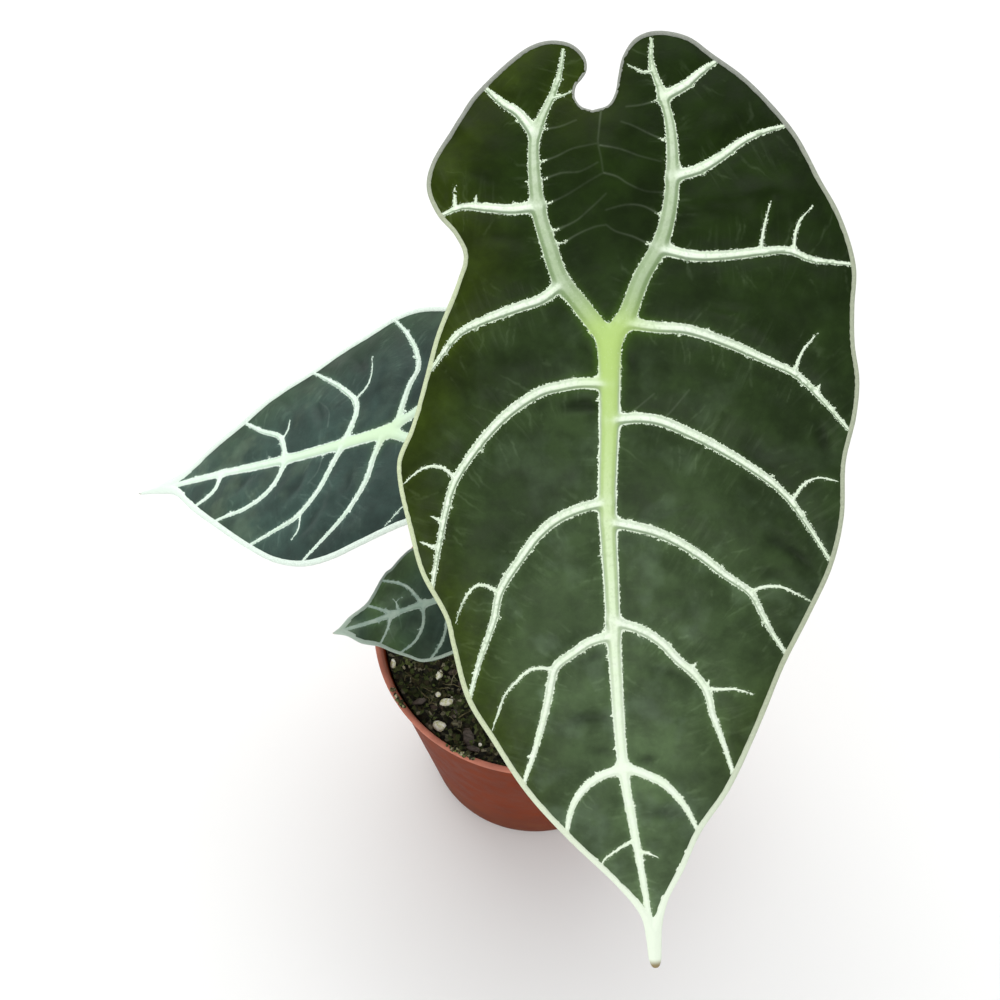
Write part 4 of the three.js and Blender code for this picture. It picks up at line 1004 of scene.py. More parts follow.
def net_points(leaf):
    """Loose points for the net: fine beside each rib's edges and along twigs, coarse between."""
    fine = leaf["fine"]
    closed = np.vstack([leaf["loop"], leaf["loop"][:1]])
    ribs = leaf["ribs"]
    lines = [rib["line"] for rib in ribs] + [closed]
    reaches = [rib["halves"][0] + 1.0 for rib in ribs] + [leaf["rim"] + 0.6]
    coarse = points_along(lines, reaches, 2 * fine)
    edged = points_along(lines, reaches, fine)
    gap = rib_measure(leaf, edged)["gap"]
    margin, _ = nearest(edged, closed)
    from_rim = margin - leaf["rim"]
    at_edge = (np.abs(gap) < TOOTH_ZONE) & (from_rim > -TOOTH_ZONE)
    at_edge |= (np.abs(from_rim) < TOOTH_ZONE) & (gap > -TOOTH_ZONE)
    twig_lines = leaf["fine_twigs"] + leaf["spurs"]
    twigs = points_along(twig_lines, [TWIG_ZONE] * len(twig_lines), 0.75 * fine)
    fine_points = np.vstack([edged[at_edge], twigs])
    cells = {tuple(cell) for cell in np.floor(fine_points / (1.2 * fine)).astype(int).tolist()}
    apart = [tuple(cell) not in cells for cell in np.floor(coarse / (1.2 * fine)).astype(int).tolist()]
    loose = np.vstack([fine_points, coarse[apart]])
    away, _ = nearest(loose, closed)
    return loose[away > 0.45 * fine]


def largest_body(faces, count):
    """Which faces belong to the largest group of faces that share points."""
    group = np.arange(count)
    while True:
        lower = group.copy()
        np.minimum.at(lower, faces, group[faces].min(axis=1)[:, None])
        lower = lower[lower]
        if (lower == group).all():
            break
        group = lower
    names, sizes = np.unique(group[faces[:, 0]], return_counts=True)
    return group[faces[:, 0]] == names[sizes.argmax()]


# %% [markdown]
# ## Teeth of the rib net
# The real cords have a fine saw edge, as if they were torn from paper. Noise added to the gap moves
# the edge in and out by a third of a millimetre. A displaced edge would only be bumpy from above,
# so the triangles outside the moved edge are dropped instead, and what isn't joined to the net with
# them.

# %% Teeth of the rib net
TOOTH = 0.33
TOOTH_SIZE = 0.43
TOOTH_RUN = 1.5
HIDDEN_EDGE = 0.3


def net_sheet(leaf):
    """The net's flat points, its triangles, what is measured there and the gaps with their teeth."""
    flat, faces = triangulate(leaf["loop"], net_points(leaf))
    facts = measure(leaf, flat)
    tooth = TOOTH * (1.2 * cloudy(flat, TOOTH_SIZE, 5.7) + 0.5 * cloudy(flat, TOOTH_RUN, 1.9))
    tooth *= np.clip(facts["half"] / 0.8, 0.15, 1)
    facts["toothed_gap"] = facts["gap"] + tooth
    from_rim = facts["margin"] - facts["rim"] + 0.6 * tooth
    facts["pale"] = np.minimum(facts["toothed_gap"], from_rim)
    corners = facts["pale"][faces]
    faces = faces[(corners.mean(axis=1) < HIDDEN_EDGE) & (corners.max(axis=1) < 2.5 * HIDDEN_EDGE)]
    faces = faces[largest_body(faces, len(flat))]
    used, faces = np.unique(faces, return_inverse=True)
    return flat[used], faces.reshape(-1, 3), {name: values[used] for name, values in facts.items()}


# %% [markdown]
# ## Height of the rib net
# A cord is a dome, lower towards the tip and along the flat midrib, with a shallow groove on the
# side that looks to the tip. The flange beside it and the bead along the margin are added by taking
# whichever surface is highest. A boolean union would do the same with more trouble.

# %% Height of the rib net
CORD_BASE = 0.22
CORD_SHARE = 0.45
CORD_LOWERS = 0.45
CORD_POWER = 2.4
SPINE_LOWERS = 0.3
LEE_GROOVE = 0.15
TIP_DOME = 0.8
FLANGE_HEIGHT = 0.13
FLANGE_SLOPE = 0.12
BEAD_HEIGHT = 0.55
BEAD_INNER_FALL = 0.45


def net_rise(facts, across, along, drip):
    """How high the net stands above the blade."""
    half = facts["half"]
    tall = (CORD_BASE * np.clip(half / 0.5, 0.2, 1) + CORD_SHARE * half) * (1 - CORD_LOWERS * along)
    tall *= 1 - SPINE_LOWERS * facts["spine"]
    groove = 1 - LEE_GROOVE * np.clip(facts["lee"], 0, 1)
    cord = tall * (1 - (across / groove) ** CORD_POWER)
    flange = FLANGE_HEIGHT * np.minimum(-facts["toothed_gap"] / FLANGE_SLOPE, 1)
    across_bead = facts["margin"] / (facts["rim"] / 2) - 1
    fall = np.where(across_bead > 0, 1.0, BEAD_INNER_FALL)
    bead = BEAD_HEIGHT * facts["rim"] / 2 * (1 - fall * across_bead**2)
    rise = np.maximum.reduce([cord, flange, bead, np.full(len(half), -HIDDEN_EDGE)])
    dome = TIP_DOME * (1 - (1 - np.minimum(facts["margin"] / facts["rim"], 1)) ** 2)
    return rise + drip * (dome - rise)


# %% [markdown]
# ## Rib net, put together
# The finish reads where a point lies: across its cord, along the leaf, up a back rib, near the heart
# where the ribs meet, or out on the margin. The juice is how strongly the yellow-green core shows.

# %% Rib net, put together
BACK_RIB_JUICE = 0.75
BACK_JUICE_REACH = 0.45
JUICE_REACH = 0.36
HEART_SHARE = 0.06
NET_DEPTH = 0.45
BEAD_UNDERCUT = 0.33


def net_numbers(leaf, flat, facts, across):
    away = np.linalg.norm(flat, axis=1) / flat[:, 1].max()
    on_back = np.clip(-flat[:, 1] / 6, 0, 1)
    up_back = on_back * BACK_RIB_JUICE * np.exp(-((away / BACK_JUICE_REACH) ** 2))
    juice = facts["spine"] * ((1 - on_back) * np.exp(-((away / JUICE_REACH) ** 2)) + up_back)
    left, right, lobes = leaf["grey_margin"]
    grey = left + (right - left) * np.clip(0.5 + 0.8 * flat[:, 0] / np.ptp(flat[:, 0]), 0, 1)
    lobe = np.clip(-flat[:, 1] / -flat[:, 1].min() * 2 - 0.4, 0, 1)
    return {
        "across": np.clip(across, 0, 1.2), "lee": facts["lee"], "juice": juice, "on_back": on_back,
        "margin_gap": facts["margin"] / facts["rim"], "grey": grey * (1 - lobe) + lobes * lobe,
        "heart": np.exp(-away / HEART_SHARE),
    }


def rib_net_piece(leaf, finish):
    flat, faces, facts = net_sheet(leaf)
    across = np.clip(1 + facts["gap"] / facts["half"], 0, None)
    tip = leaf["outlines"][0][-1][1]
    along = np.clip(flat[:, 1] / tip, 0, 1)
    drip = np.clip((flat[:, 1] - tip + leaf["drip"]) / (0.35 * leaf["drip"]), 0, 1)
    grain = 0.05 * cloudy(flat, 0.7, 2.2) + 0.06 * cloudy(flat, 2.5, 7.4)
    face = surface_height(leaf, flat, facts) + BLADE_HALF
    rise = net_rise(facts, across, along, drip) + grain * (facts["pale"] < 0)
    wrap = np.clip((facts["margin"] / facts["rim"] - 0.25) / 0.45, 0, 1)
    under = face - NET_DEPTH - (1 - wrap) * (2 * BLADE_HALF - BEAD_UNDERCUT)
    top = hang(leaf, flat, face + rise)
    bottom = hang(leaf, flat, under)
    numbers = net_numbers(leaf, flat, facts, across) | {"along": along, "drip": drip}
    quads, _ = closed_sheet(faces, len(flat))
    return make_piece(
        f"{leaf['name']}_pale_rib_net", np.vstack([top, bottom]), quads, [finish],
        {label: np.tile(values, 2) for label, values in numbers.items()},
    )


# %% [markdown]
# ## Face of the blade
# The face is dark green with a soft gloss, darkest near the notch. Towards the tip, and most along the
# midrib, it is painted lighter and greyer: a painted reflection of the soft light that the arching,
# drooping blade mirrors, with patches of painted sheen and painted shade in its dents. It is blotched,
# and faint streaks and hair veins run out from the ribs. Beside each rib the pale colour spills over in
# fine teeth, with a green glow round the junction. It could be painted on, but here all of it is drawn
# from the distances that the mesh carries, so it fits the ribs exactly.


# %% Face of the blade
def rib_grid(finish, along, out):
    """A place made of the way along the nearest rib and the way out from it, in patch sizes."""
    node = finish.nodes.new("ShaderNodeCombineXYZ")
    finish.plug(finish.math("DIVIDE", finish.measured("rib_place"), along), node.inputs[0])
    finish.plug(finish.math("DIVIDE", finish.measured("rib_gap"), out), node.inputs[1])
    return node.outputs[0]


def blade_face(name, deep, light, olive, glow, pale, specular, gloss):
    finish = Finish(name, specular)
    clear = finish.step(finish.measured("rib_clear"), 0.08, 0.55)
    low = finish.step(finish.measured("along"), -0.3, 0.9)
    patches = finish.noise(17, detail=4)
    blotches = finish.noise(6, detail=5, rough=0.62)
    grain = finish.noise(0.9, detail=4, rough=0.7)

    # Base tone: painted lighter towards the tip and along the midrib as a painted reflection, darker in
    # blotches, with painted shade in the dents
    low = finish.math("MULTIPLY", low, finish.step(finish.measured("painted_sheen"), 0.0, 1.0, 0.55, 1.1))
    tone = finish.mix(low, deep, light)
    tone = finish.mix(finish.step(finish.measured("olive"), 0.05, 0.75, 0, 0.8), tone, olive)
    # Painted sheen: lighter grey-green patches over the lower blade
    painted_sheen_patches = finish.math("MULTIPLY", finish.step(finish.noise(10, detail=3, rough=0.5), 0.48, 0.68), low)
    tone = finish.mix(finish.math("MULTIPLY", painted_sheen_patches, 0.45), tone, srgb(96, 114, 92))
    # Painted highlight: the tip is painted lighter still
    tone = finish.mix(finish.step(finish.measured("along"), 0.72, 1.0, 0, 0.5), tone, srgb(94, 114, 82))
    tone = finish.vector("SCALE", tone, finish.step(patches, 0.3, 0.7, 0.78, 1.27))
    tone = finish.vector("SCALE", tone, finish.step(blotches, 0.32, 0.68, 0.82, 1.18))
    # Painted shade in the dents
    tone = finish.vector("SCALE", tone, finish.step(finish.measured("painted_dent_shade"), 0.1, 1.6, 1, 0.45))

    # Fine streaks square to the ribs, and the soft veins that leave them at a slant
    streaks = finish.noise(1, detail=2, rough=0.5, place=rib_grid(finish, 1.3, 13))
    streaks = finish.math("MULTIPLY", finish.step(streaks, 0.5, 0.75), clear)
    streaks = finish.math("MULTIPLY", streaks, finish.step(patches, 0.4, 0.6, 0.3, 1))
    slant = finish.math("MULTIPLY", finish.measured("rib_gap"), -0.45)
    slant = finish.math("ADD", finish.measured("rib_place"), slant)
    slant = finish.math("ADD", slant, finish.math("MULTIPLY", patches, 9.0))
    veins = finish.cells(5.5, dimension="1D", at=slant)
    veins = finish.math("MULTIPLY", finish.step(veins, 0.0, 0.12, 1, 0), clear)
    veins = finish.math("MULTIPLY", veins, finish.step(blotches, 0.45, 0.62))
    hair = finish.math("MULTIPLY", finish.measured("hair"), finish.step(blotches, 0.3, 0.5, 0.5, 1))
    wrinkle = finish.mix(0.07, finish.vector("SCALE", tone, 1.9), pale)
    tone = finish.mix(finish.math("MULTIPLY", streaks, 0.2), tone, wrinkle)
    tone = finish.mix(finish.math("MULTIPLY", veins, 0.26), tone, wrinkle)
    tone = finish.mix(finish.math("MULTIPLY", hair, 0.36), tone, finish.mix(0.15, wrinkle, pale))
    tone = finish.mix(finish.step(grain, 0.58, 0.8, 0, 0.3), tone, finish.vector("SCALE", tone, 1.7))

    # Pale colour that spills over beside the ribs
    teeth = finish.noise(0.42, detail=2, rough=0.6)
    ragged = finish.math("MULTIPLY", finish.math("SUBTRACT", teeth, 0.5), 2.0)
    edge = finish.step(finish.math("ADD", finish.measured("rib_gap"), ragged), 0.0, 0.12, 1, 0)
    spill = finish.math("ADD", finish.measured("rib_gap"), finish.math("MULTIPLY", blotches, 1.2))
    spill = finish.step(spill, 0.4, 2.4, 0.3, 0)
    tone = finish.mix(spill, tone, finish.vector("SCALE", tone, 2.2))
    tone = finish.mix(finish.step(finish.measured("heart"), 0.03, 0.8, 0, 0.75), tone, glow)
    color = finish.mix(edge, tone, pale)

    shine = finish.step(blotches, 0.3, 0.7, gloss - 0.05, gloss + 0.1)
    relief = finish.bump(finish.math("ADD", streaks, veins), 0.07, 0.6)
    relief = finish.bump(blotches, 0.6, 0.45, under=relief)
    relief = finish.bump(grain, 0.04, 0.4, under=relief)
    return finish.done(color, shine, relief)


# %% [markdown]
# ## Back of the blade
# The photograph doesn't show the backs. Leaves of this kind are purple underneath, with green ribs
# and faint cross veins. The back is the same mesh, so a second material on its lower faces is enough.


# %% Back of the blade
def blade_back(name, deep, light):
    finish = Finish(name, specular=0.3)
    gap = finish.measured("rib_gap")
    clouds = finish.noise(9, detail=4)
    grain = finish.noise(0.8, detail=4, rough=0.7)
    tone = finish.mix(finish.step(clouds, 0.35, 0.65), deep, light)
    place = finish.math("ADD", finish.measured("rib_place"), finish.math("MULTIPLY", clouds, 4.0))
    cross = finish.step(finish.cells(3.2, dimension="1D", at=place), 0.02, 0.2, 1, 0)
    cross = finish.math("MULTIPLY", cross, finish.step(finish.measured("rib_clear"), 0.05, 0.5))
    tone = finish.mix(finish.math("MULTIPLY", cross, 0.22), tone, srgb(128, 98, 108))
    rib = finish.step(finish.math("ADD", gap, finish.math("MULTIPLY", grain, 0.5)), 0.0, 0.5, 1, 0)
    color = finish.mix(rib, tone, srgb(140, 146, 100))
    relief = finish.bump(finish.math("ADD", cross, finish.math("MULTIPLY", grain, 0.5)), 0.1, 0.6)
    return finish.done(color, finish.step(clouds, 0.3, 0.7, 0.5, 0.62), relief)


# %% [markdown]
# ## Rib finish
# The cords are green-white with white toothed edges. Their flanks are greener, and more so on the side
# of each cord that looks to the tip, mostly in the upper part of the leaf: a painted shade for the side
# of the cord away from the high back light. Along the spine the core is yellow-green near the stalk,
# where it is thickest and juiciest, and grey-green up the back ribs. The outer side of the margin is
# greyer round the lobes and down the far side. Light let under the surface would blur such thin cords,
# so the colours alone carry it.


# %% Rib finish
def rib_finish(name, pale, flank, core, back_core, edge, rim, grey_rim, dry_tip):
    finish = Finish(name, specular=0.3)
    grain = finish.noise(0.45, detail=4, rough=0.7)
    blotch = finish.noise(3.5, detail=3)
    across = finish.measured("across")
    tone = finish.mix(finish.step(blotch, 0.3, 0.7), pale, edge)
    side = finish.math("MULTIPLY", finish.step(across, 0.25, 0.6), finish.step(across, 0.96, 0.84))
    # Painted shade: the flank colour is stronger on the side that looks to the tip
    side = finish.math("MULTIPLY", side, finish.step(finish.measured("lee"), -0.6, 0.4, 0.25, 0.95))
    upper = finish.step(finish.measured("along"), 0.3, 0.7, 1, 0.15)
    side = finish.math("MULTIPLY", side, upper)
    tone = finish.mix(side, tone, flank)
    mottle = finish.noise(1.1, detail=3, rough=0.65)
    mottle = finish.math("MULTIPLY", finish.step(mottle, 0.46, 0.66, 0, 0.26), upper)
    tone = finish.mix(mottle, tone, flank)
    on_back = finish.measured("on_back")
    wide_core = finish.math("MULTIPLY", finish.step(across, 1.2, 0.9), on_back)
    wide_core = finish.math("MAXIMUM", wide_core, finish.step(across, 0.95, 0.6))
    juice = finish.measured("juice")
    tone = finish.mix(finish.math("MULTIPLY", juice, wide_core), tone, finish.mix(on_back, core, back_core))
    border = finish.math("MULTIPLY", finish.step(across, 0.84, 1.0), finish.step(on_back, 0, 1, 0.7, 0.15))
    tone = finish.mix(border, tone, edge)
    tone = finish.mix(finish.step(finish.measured("heart"), 0.1, 0.7, 0, 0.85), tone, core)
    tone = finish.mix(finish.step(grain, 0.58, 0.78, 0, 0.4), tone, edge)
    tone = finish.mix(finish.measured("drip"), tone, edge)
    dry = finish.step(finish.measured("along"), 0.982, 0.996)
    bead = finish.mix(finish.measured("grey"), rim, grey_rim)
    bead = finish.vector("SCALE", bead, finish.step(grain, 0.3, 0.7, 0.85, 1.1))
    bead = finish.mix(finish.step(finish.measured("along"), 0.5, 0.95, 0, 0.9), bead, edge)
    tone = finish.mix(finish.step(finish.measured("margin_gap"), 0.9, 1.25, 1, 0), tone, bead)
    tone = finish.mix(dry, tone, dry_tip)
    relief = finish.bump(grain, 0.08, 0.6)
    return finish.done(tone, finish.step(blotch, 0.3, 0.7, 0.45, 0.58), relief)


# %% [markdown]
# ## Three leaves in their colours
# The large leaf is a warm dark green and the medium one bluer, with the whitest ribs. The small leaf
# lies in the shade of both, and its colours are painted darker and greyer as painted shade. One recipe
# serves all three.

# %% Three leaves in their colours
# Face colours: deep, a painted sheen green, olive, glow and pale, then specular level and gloss
LOOKS = {
    "leaf_large": {
        "face": (srgb(22, 38, 2), srgb(75, 94, 63), srgb(44, 58, 2), srgb(66, 98, 20),
                 srgb(226, 240, 214), 0.1, 0.42),
        "back": (srgb(74, 36, 52), srgb(96, 56, 66)),
        "rib": (srgb(236, 252, 224), srgb(140, 162, 128), srgb(180, 210, 120), srgb(122, 150, 92),
                srgb(242, 253, 234), srgb(210, 222, 180), srgb(144, 148, 138), srgb(142, 126, 86)),
    },
    "leaf_medium": {
        "face": (srgb(38, 57, 51), srgb(57, 79, 71), srgb(50, 70, 50), srgb(66, 92, 66),
                 srgb(228, 246, 232), 0.25, 0.46),
        "back": (srgb(78, 40, 56), srgb(98, 60, 70)),
        "rib": (srgb(226, 248, 228), srgb(186, 212, 190), srgb(216, 242, 204), srgb(212, 236, 208),
                srgb(236, 250, 238), srgb(232, 246, 234), srgb(196, 214, 200), srgb(232, 236, 222)),
    },
    # Painted shade: darker, greyer colours for the shade of the two larger leaves
    "leaf_small": {
        "face": (srgb(32, 48, 42), srgb(53, 75, 58), srgb(56, 78, 40), srgb(48, 66, 50),
                 srgb(146, 168, 154), 0.2, 0.5),
        "back": (srgb(70, 38, 52), srgb(90, 56, 64)),
        "rib": (srgb(142, 166, 152), srgb(114, 138, 124), srgb(150, 174, 156), srgb(136, 158, 144),
                srgb(178, 196, 180), srgb(172, 190, 174), srgb(96, 110, 102), srgb(160, 166, 140)),
    },
}

for leaf in LEAVES:
    name = leaf["name"]
    look = LOOKS[name]
    blade_skins = [blade_face(f"{name}_face", *look["face"]), blade_back(f"{name}_back", *look["back"])]
    leaf_pieces = {
        "blade": blade_piece(leaf, blade_skins),
        "rib_net": rib_net_piece(leaf, rib_finish(f"{name}_ribs", *look["rib"])),
    }
    for part, piece in leaf_pieces.items():
        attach(piece, "root")
        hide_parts(f"{name}_{part}")

# %% [markdown]
# ## Leaf stalks
# A leaf stalk, or petiole, is round above and opens below into a sheath that wraps the younger
# stalk. A curve with a bevel would be quicker, but it can't open into a sheath. So each stalk is a
# ring of points carried along a curve. The ring is turned as little as possible on its way, so the
# groove of the sheath doesn't twist.

# %% Stalk shape
STALKS = {
    "leaf_large": {"path": [(4.5, 1.5, 63), (5, 5, 90), (9, 15, 150), (14, 11, 215)], "radii": (4.6, 2.7)},
    "leaf_medium": {"path": [(-5, 3, 63), (-7, 6, 90), (-17, 16, 135), (-31, 18, 165)], "radii": (3.8, 2)},
    "leaf_small": {"path": [(0, -6, 66), (-3, -6.5, 82), (-12, -7.5, 95), (-21, -6, 104)],
                   "radii": (2.8, 1.4)},
}
STALK_SIDES = 36
STALK_STEP = 1.6
STALK_TOP = 1.5
FLARE = 0.35
FLARE_SHARE = 0.045
SHEATH_SHARE = 0.42
GROOVE_DEPTH = 0.3
GROOVE_WIDTH = 0.3
SHEATH_LIP = 0.13
SHEATH_LIP_PLACE = 0.62
SHEATH_LIP_WIDTH = 0.2


def carried_frames(line):
    """Two directions square to a curve at each of its points, turned as little as possible."""
    ahead = np.gradient(line, axis=0)
    ahead /= np.linalg.norm(ahead, axis=1)[:, None]
    side = np.array([0.0, -1.0, 0.0])
    sides = []
    for way in ahead:
        side = side - way * side.dot(way)
        side /= np.linalg.norm(side)
        sides.append(side)
    sides = np.array(sides)
    return sides, np.cross(ahead, sides)


def tube_faces(rings, sides, capped=True):
    """Faces of a tube of rings, with a flat cap at each end."""
    faces = []
    for ring in range(rings - 1):
        for corner in range(sides):
            after = (corner + 1) % sides
            low, high = ring * sides, (ring + 1) * sides
            faces.append((low + corner, low + after, high + after, high + corner))
    if capped:
        faces.append(tuple(range(sides - 1, -1, -1)))
        faces.append(tuple((rings - 1) * sides + corner for corner in range(sides)))
    return faces


def tube_points(line, radius, sides):
    """Rings of points round a line. The radius is one number for each ring, or one for each point."""
    across, other = carried_frames(line)
    angle = np.linspace(0, 2 * np.pi, sides, endpoint=False)
    way = np.cos(angle)[None, :, None] * across[:, None] + np.sin(angle)[None, :, None] * other[:, None]
    return (line[:, None] + radius[..., None] * way).reshape(-1, 3)


def stalk_piece(leaf, finish):
    stalk = STALKS[leaf["name"]]
    depths = (-STALK_TOP - 4 * stalk["radii"][1], -STALK_TOP)
    under = hang(leaf, np.zeros((2, 2)), np.array(depths))
    line = smooth_line([*stalk["path"], *under], STALK_STEP)
    share = np.linspace(0, 1, len(line))
    radius = np.interp(np.sqrt(share), [0, 1], stalk["radii"])
    radius = radius * (1 + FLARE * np.clip((share - 1 + FLARE_SHARE) / FLARE_SHARE, 0, 1) ** 2)
    sheath = np.clip(1 - share / SHEATH_SHARE, 0, 1)[:, None] ** 0.6
    from_groove = np.abs(np.angle(np.exp(1j * np.linspace(0, 2 * np.pi, STALK_SIDES, endpoint=False))))
    groove = np.exp(-((from_groove / GROOVE_WIDTH) ** 2))
    lips = np.exp(-(((from_groove - SHEATH_LIP_PLACE) / SHEATH_LIP_WIDTH) ** 2))
    shape = 1 - GROOVE_DEPTH * sheath * groove + SHEATH_LIP * sheath * lips
    points = tube_points(line, radius[:, None] * shape, STALK_SIDES)
    centre = np.repeat(line, STALK_SIDES, axis=0)
    uneven = 1 + 0.022 * cloudy(points, 7, 4.4) + 0.01 * cloudy(points, 2, 8.4)
    points = centre + (points - centre) * uneven[:, None]
    return make_piece(f"{leaf['name']}_stalk", points, tube_faces(len(line), STALK_SIDES), [finish],
                      {"height": np.repeat(share, STALK_SIDES)})


# %% [markdown]
# ## Stalk finish
# The stalks are olive green, flushed brown below, with fine broken marks along them. The marks are
# noise stretched lengthwise, because a real stalk's mottling is drawn out as it grows.


# %% Stalk finish
def stalk_finish():
    finish = Finish("stalk_skin", specular=0.45)
    marks = finish.noise(1.6, detail=4, rough=0.7, stretch=(1, 1, 4))
    clouds = finish.noise(14, detail=3)
    grain = finish.noise(0.5, detail=3, stretch=(1, 1, 5))
    height = finish.measured("height")
    tone = finish.mix(finish.step(clouds, 0.3, 0.7), srgb(104, 118, 66), srgb(126, 138, 84))
    tone = finish.mix(finish.step(height, 0.0, 0.45, 0.7, 0), tone, srgb(128, 98, 72))
    tone = finish.mix(finish.step(height, 0.9, 1.0, 0, 0.6), tone, srgb(168, 182, 120))
    tone = finish.mix(finish.step(marks, 0.52, 0.62, 0, 0.6), tone, srgb(84, 52, 44))
    relief = finish.bump(grain, 0.12, 0.5)
    return finish.done(tone, finish.step(clouds, 0.3, 0.7, 0.38, 0.5), relief)


stalk_skin = stalk_finish()
for leaf in LEAVES:
    stalk = stalk_piece(leaf, stalk_skin)
    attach(stalk, "root")
    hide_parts(f"{leaf['name']}_petiole")

# %% [markdown]
# ## Crown
# The crown is a short stem, ringed by the scars of old leaves. Dry papery sheaths, the remains of
# the scales that wrapped each new leaf, stand round the stalks. The stem could be sculpted from a
# cylinder, but a profile turned round the axis keeps its neck and its scars in even rings.

# %% Crown stem
CROWN_RADIUS = 11
CROWN_BOTTOM = 59
CROWN_TOP = 87
CROWN_SIDES = 72
crown_profile = smooth_line(
    [(0.2, CROWN_BOTTOM), (7.7, CROWN_BOTTOM), (10.8, 64), (11, 70), (10.9, 77), (10.4, 82), (8, 85.4),
     (4, 86.8), (0.2, CROWN_TOP)], 0.7)


def turned_profile(profile, sides):
    """Rings of points from a profile of (distance from the axis, height)."""
    angle = np.linspace(0, 2 * np.pi, sides, endpoint=False)
    flat = profile[:, :1, None] * np.stack([np.cos(angle), np.sin(angle)], axis=-1)
    height = np.broadcast_to(profile[:, 1:, None], (len(profile), sides, 1))
    return np.concatenate([flat, height], axis=-1).reshape(-1, 3)


crown_points = turned_profile(crown_profile, CROWN_SIDES)
outward = crown_points * (1, 1, 0)
scars = 0.03 * np.sin(crown_points[:, 2] * 2.1 + 1.5 * np.arctan2(crown_points[:, 1], crown_points[:, 0]))
rough = 0.03 * cloudy(crown_points, 3, 6.1) + 0.02 * cloudy(crown_points, 1, 2.6)
crown_points += outward * (scars + rough - 0.05)[:, None]
crown_faces = tube_faces(len(crown_profile), CROWN_SIDES)
print("crown stem:", CROWN_TOP - CROWN_BOTTOM, "mm tall,", len(crown_points), "points")

# %% [markdown]
# ## Papery sheaths
# The sheaths are thin curved strips, drawn as a grid of points with an outer and an inner side and
# torn at the top. A cloth simulation could crumple them, but these dry, stiff rests only lean.

# %% Papery sheaths
SOIL_LEVEL = 79
SHEATHS = [
    # Angle round the crown, reach from its axis, half spread, height, lean
    (20, 8.6, 0.75, 24, 0.10), (95, 8.8, 0.6, 15, 0.16), (160, 9.2, 0.8, 19, 0.08),
    (215, 9.6, 0.55, 12, 0.22), (262, 9.9, 0.7, 10, 0.26), (318, 9.0, 0.65, 16, 0.14),
]
SHEATH_COLUMNS = 19
SHEATH_ROWS = 26
SHEATH_THICK = 0.35
SHEATH_WAVE = 0.5


def sheath(place, reach, spread, tall, lean, seed):
    """A papery strip that stands on the crown, narrowing to a torn point."""
    up = np.linspace(0, 1, SHEATH_ROWS)[:, None]
    over = np.linspace(-1, 1, SHEATH_COLUMNS)[None, :]
    tear = 0.12 * np.array([noise.noise(Vector((4 * u, seed, 0))) for u in over[0]])[None, :]
    top = np.clip(1 - 0.35 * over**2 + tear, 0.4, 1.1)
    angle = math.radians(place) + spread * over * (1 - 0.75 * up**1.5)
    wave = SHEATH_WAVE * np.sin(6 * up + 4 * over + seed) * up
    radius = reach + lean * tall * up**1.6 + wave + 1.4 * over**2 * up
    height = SOIL_LEVEL - 1 + (tall * top) * up
    outer = np.stack([radius * np.cos(angle), radius * np.sin(angle), height + 0 * angle], axis=-1)
    inner = outer * (1 - SHEATH_THICK / reach, 1 - SHEATH_THICK / reach, 1)
    grid = np.arange(SHEATH_ROWS * SHEATH_COLUMNS).reshape(SHEATH_ROWS, SHEATH_COLUMNS)
    low, high = grid[:-1], grid[1:]
    quads = np.stack([low[:, :-1], low[:, 1:], high[:, 1:], high[:, :-1]], axis=-1).reshape(-1, 4)
    edge = np.concatenate([grid[0], grid[1:, -1], grid[-1, -2::-1], grid[-2:0:-1, 0]])
    after = np.roll(edge, -1)
    count = grid.size
    wall = np.column_stack([edge, edge + count, after + count, after])
    faces = [*quads.tolist(), *(quads[:, ::-1] + count).tolist(), *wall.tolist()]
    return np.vstack([outer.reshape(-1, 3), inner.reshape(-1, 3)]), faces


def gathered(parts):
    """Several lists of points and faces as one."""
    points, faces = [], []
    for part_points, part_faces in parts:
        start = sum(len(block) for block in points)
        points.append(part_points)
        faces += [tuple(corner + start for corner in face) for face in part_faces]
    return np.vstack(points), faces


crown_parts = [(crown_points, crown_faces)]
crown_parts += [sheath(*values, 3.7 * number) for number, values in enumerate(SHEATHS)]
print("papery sheaths:", len(SHEATHS), "up to", max(values[3] for values in SHEATHS), "mm tall")

# %% [markdown]
# ## Crown finish
# Crown and sheaths are dry and brown, with fibres running up them. They share one material, because
# the sheaths are the dried skin of the same stem.


# %% Crown finish
def crown_finish():
    finish = Finish("crown_skin", specular=0.25)
    fibres = finish.noise(1.0, detail=5, rough=0.7, stretch=(1, 1, 7))
    clouds = finish.noise(5, detail=4)
    tone = finish.mix(finish.step(clouds, 0.3, 0.7), srgb(96, 76, 52), srgb(142, 118, 84))
    tone = finish.mix(finish.step(fibres, 0.5, 0.7, 0, 0.7), tone, srgb(66, 46, 32))
    relief = finish.bump(fibres, 0.35, 0.8)
    return finish.done(tone, finish.step(clouds, 0.3, 0.7, 0.65, 0.85), relief)


crown = make_piece("crown_with_papery_sheaths", *gathered(crown_parts), [crown_finish()])
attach(crown, "root")
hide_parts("crown")

# %% [markdown]
# ## Pot wall
# The pot is moulded from thin brown plastic: a foot with a small bevel, a straight tapered wall and
# a lip rolled outwards, with a shallow recess underneath. A Screw modifier can turn a profile round
# the axis too. Here the rings are worked out as points, so that the floor can start at the last one.

# %% Pot wall
POT_HEIGHT = 85
POT_RIM = 52.5
POT_FOOT = 36
POT_FLOOR = 2.4
FLOOR_RADIUS = 30.0
RECESS = 0.5
WALL = 0.9
LIP_REACH = 1.2
POT_SIDES = 192
OUT_OF_ROUND = 0.0022


def wall_radius(height):
    return POT_FOOT + (POT_RIM - LIP_REACH - POT_FOOT) * height / POT_HEIGHT


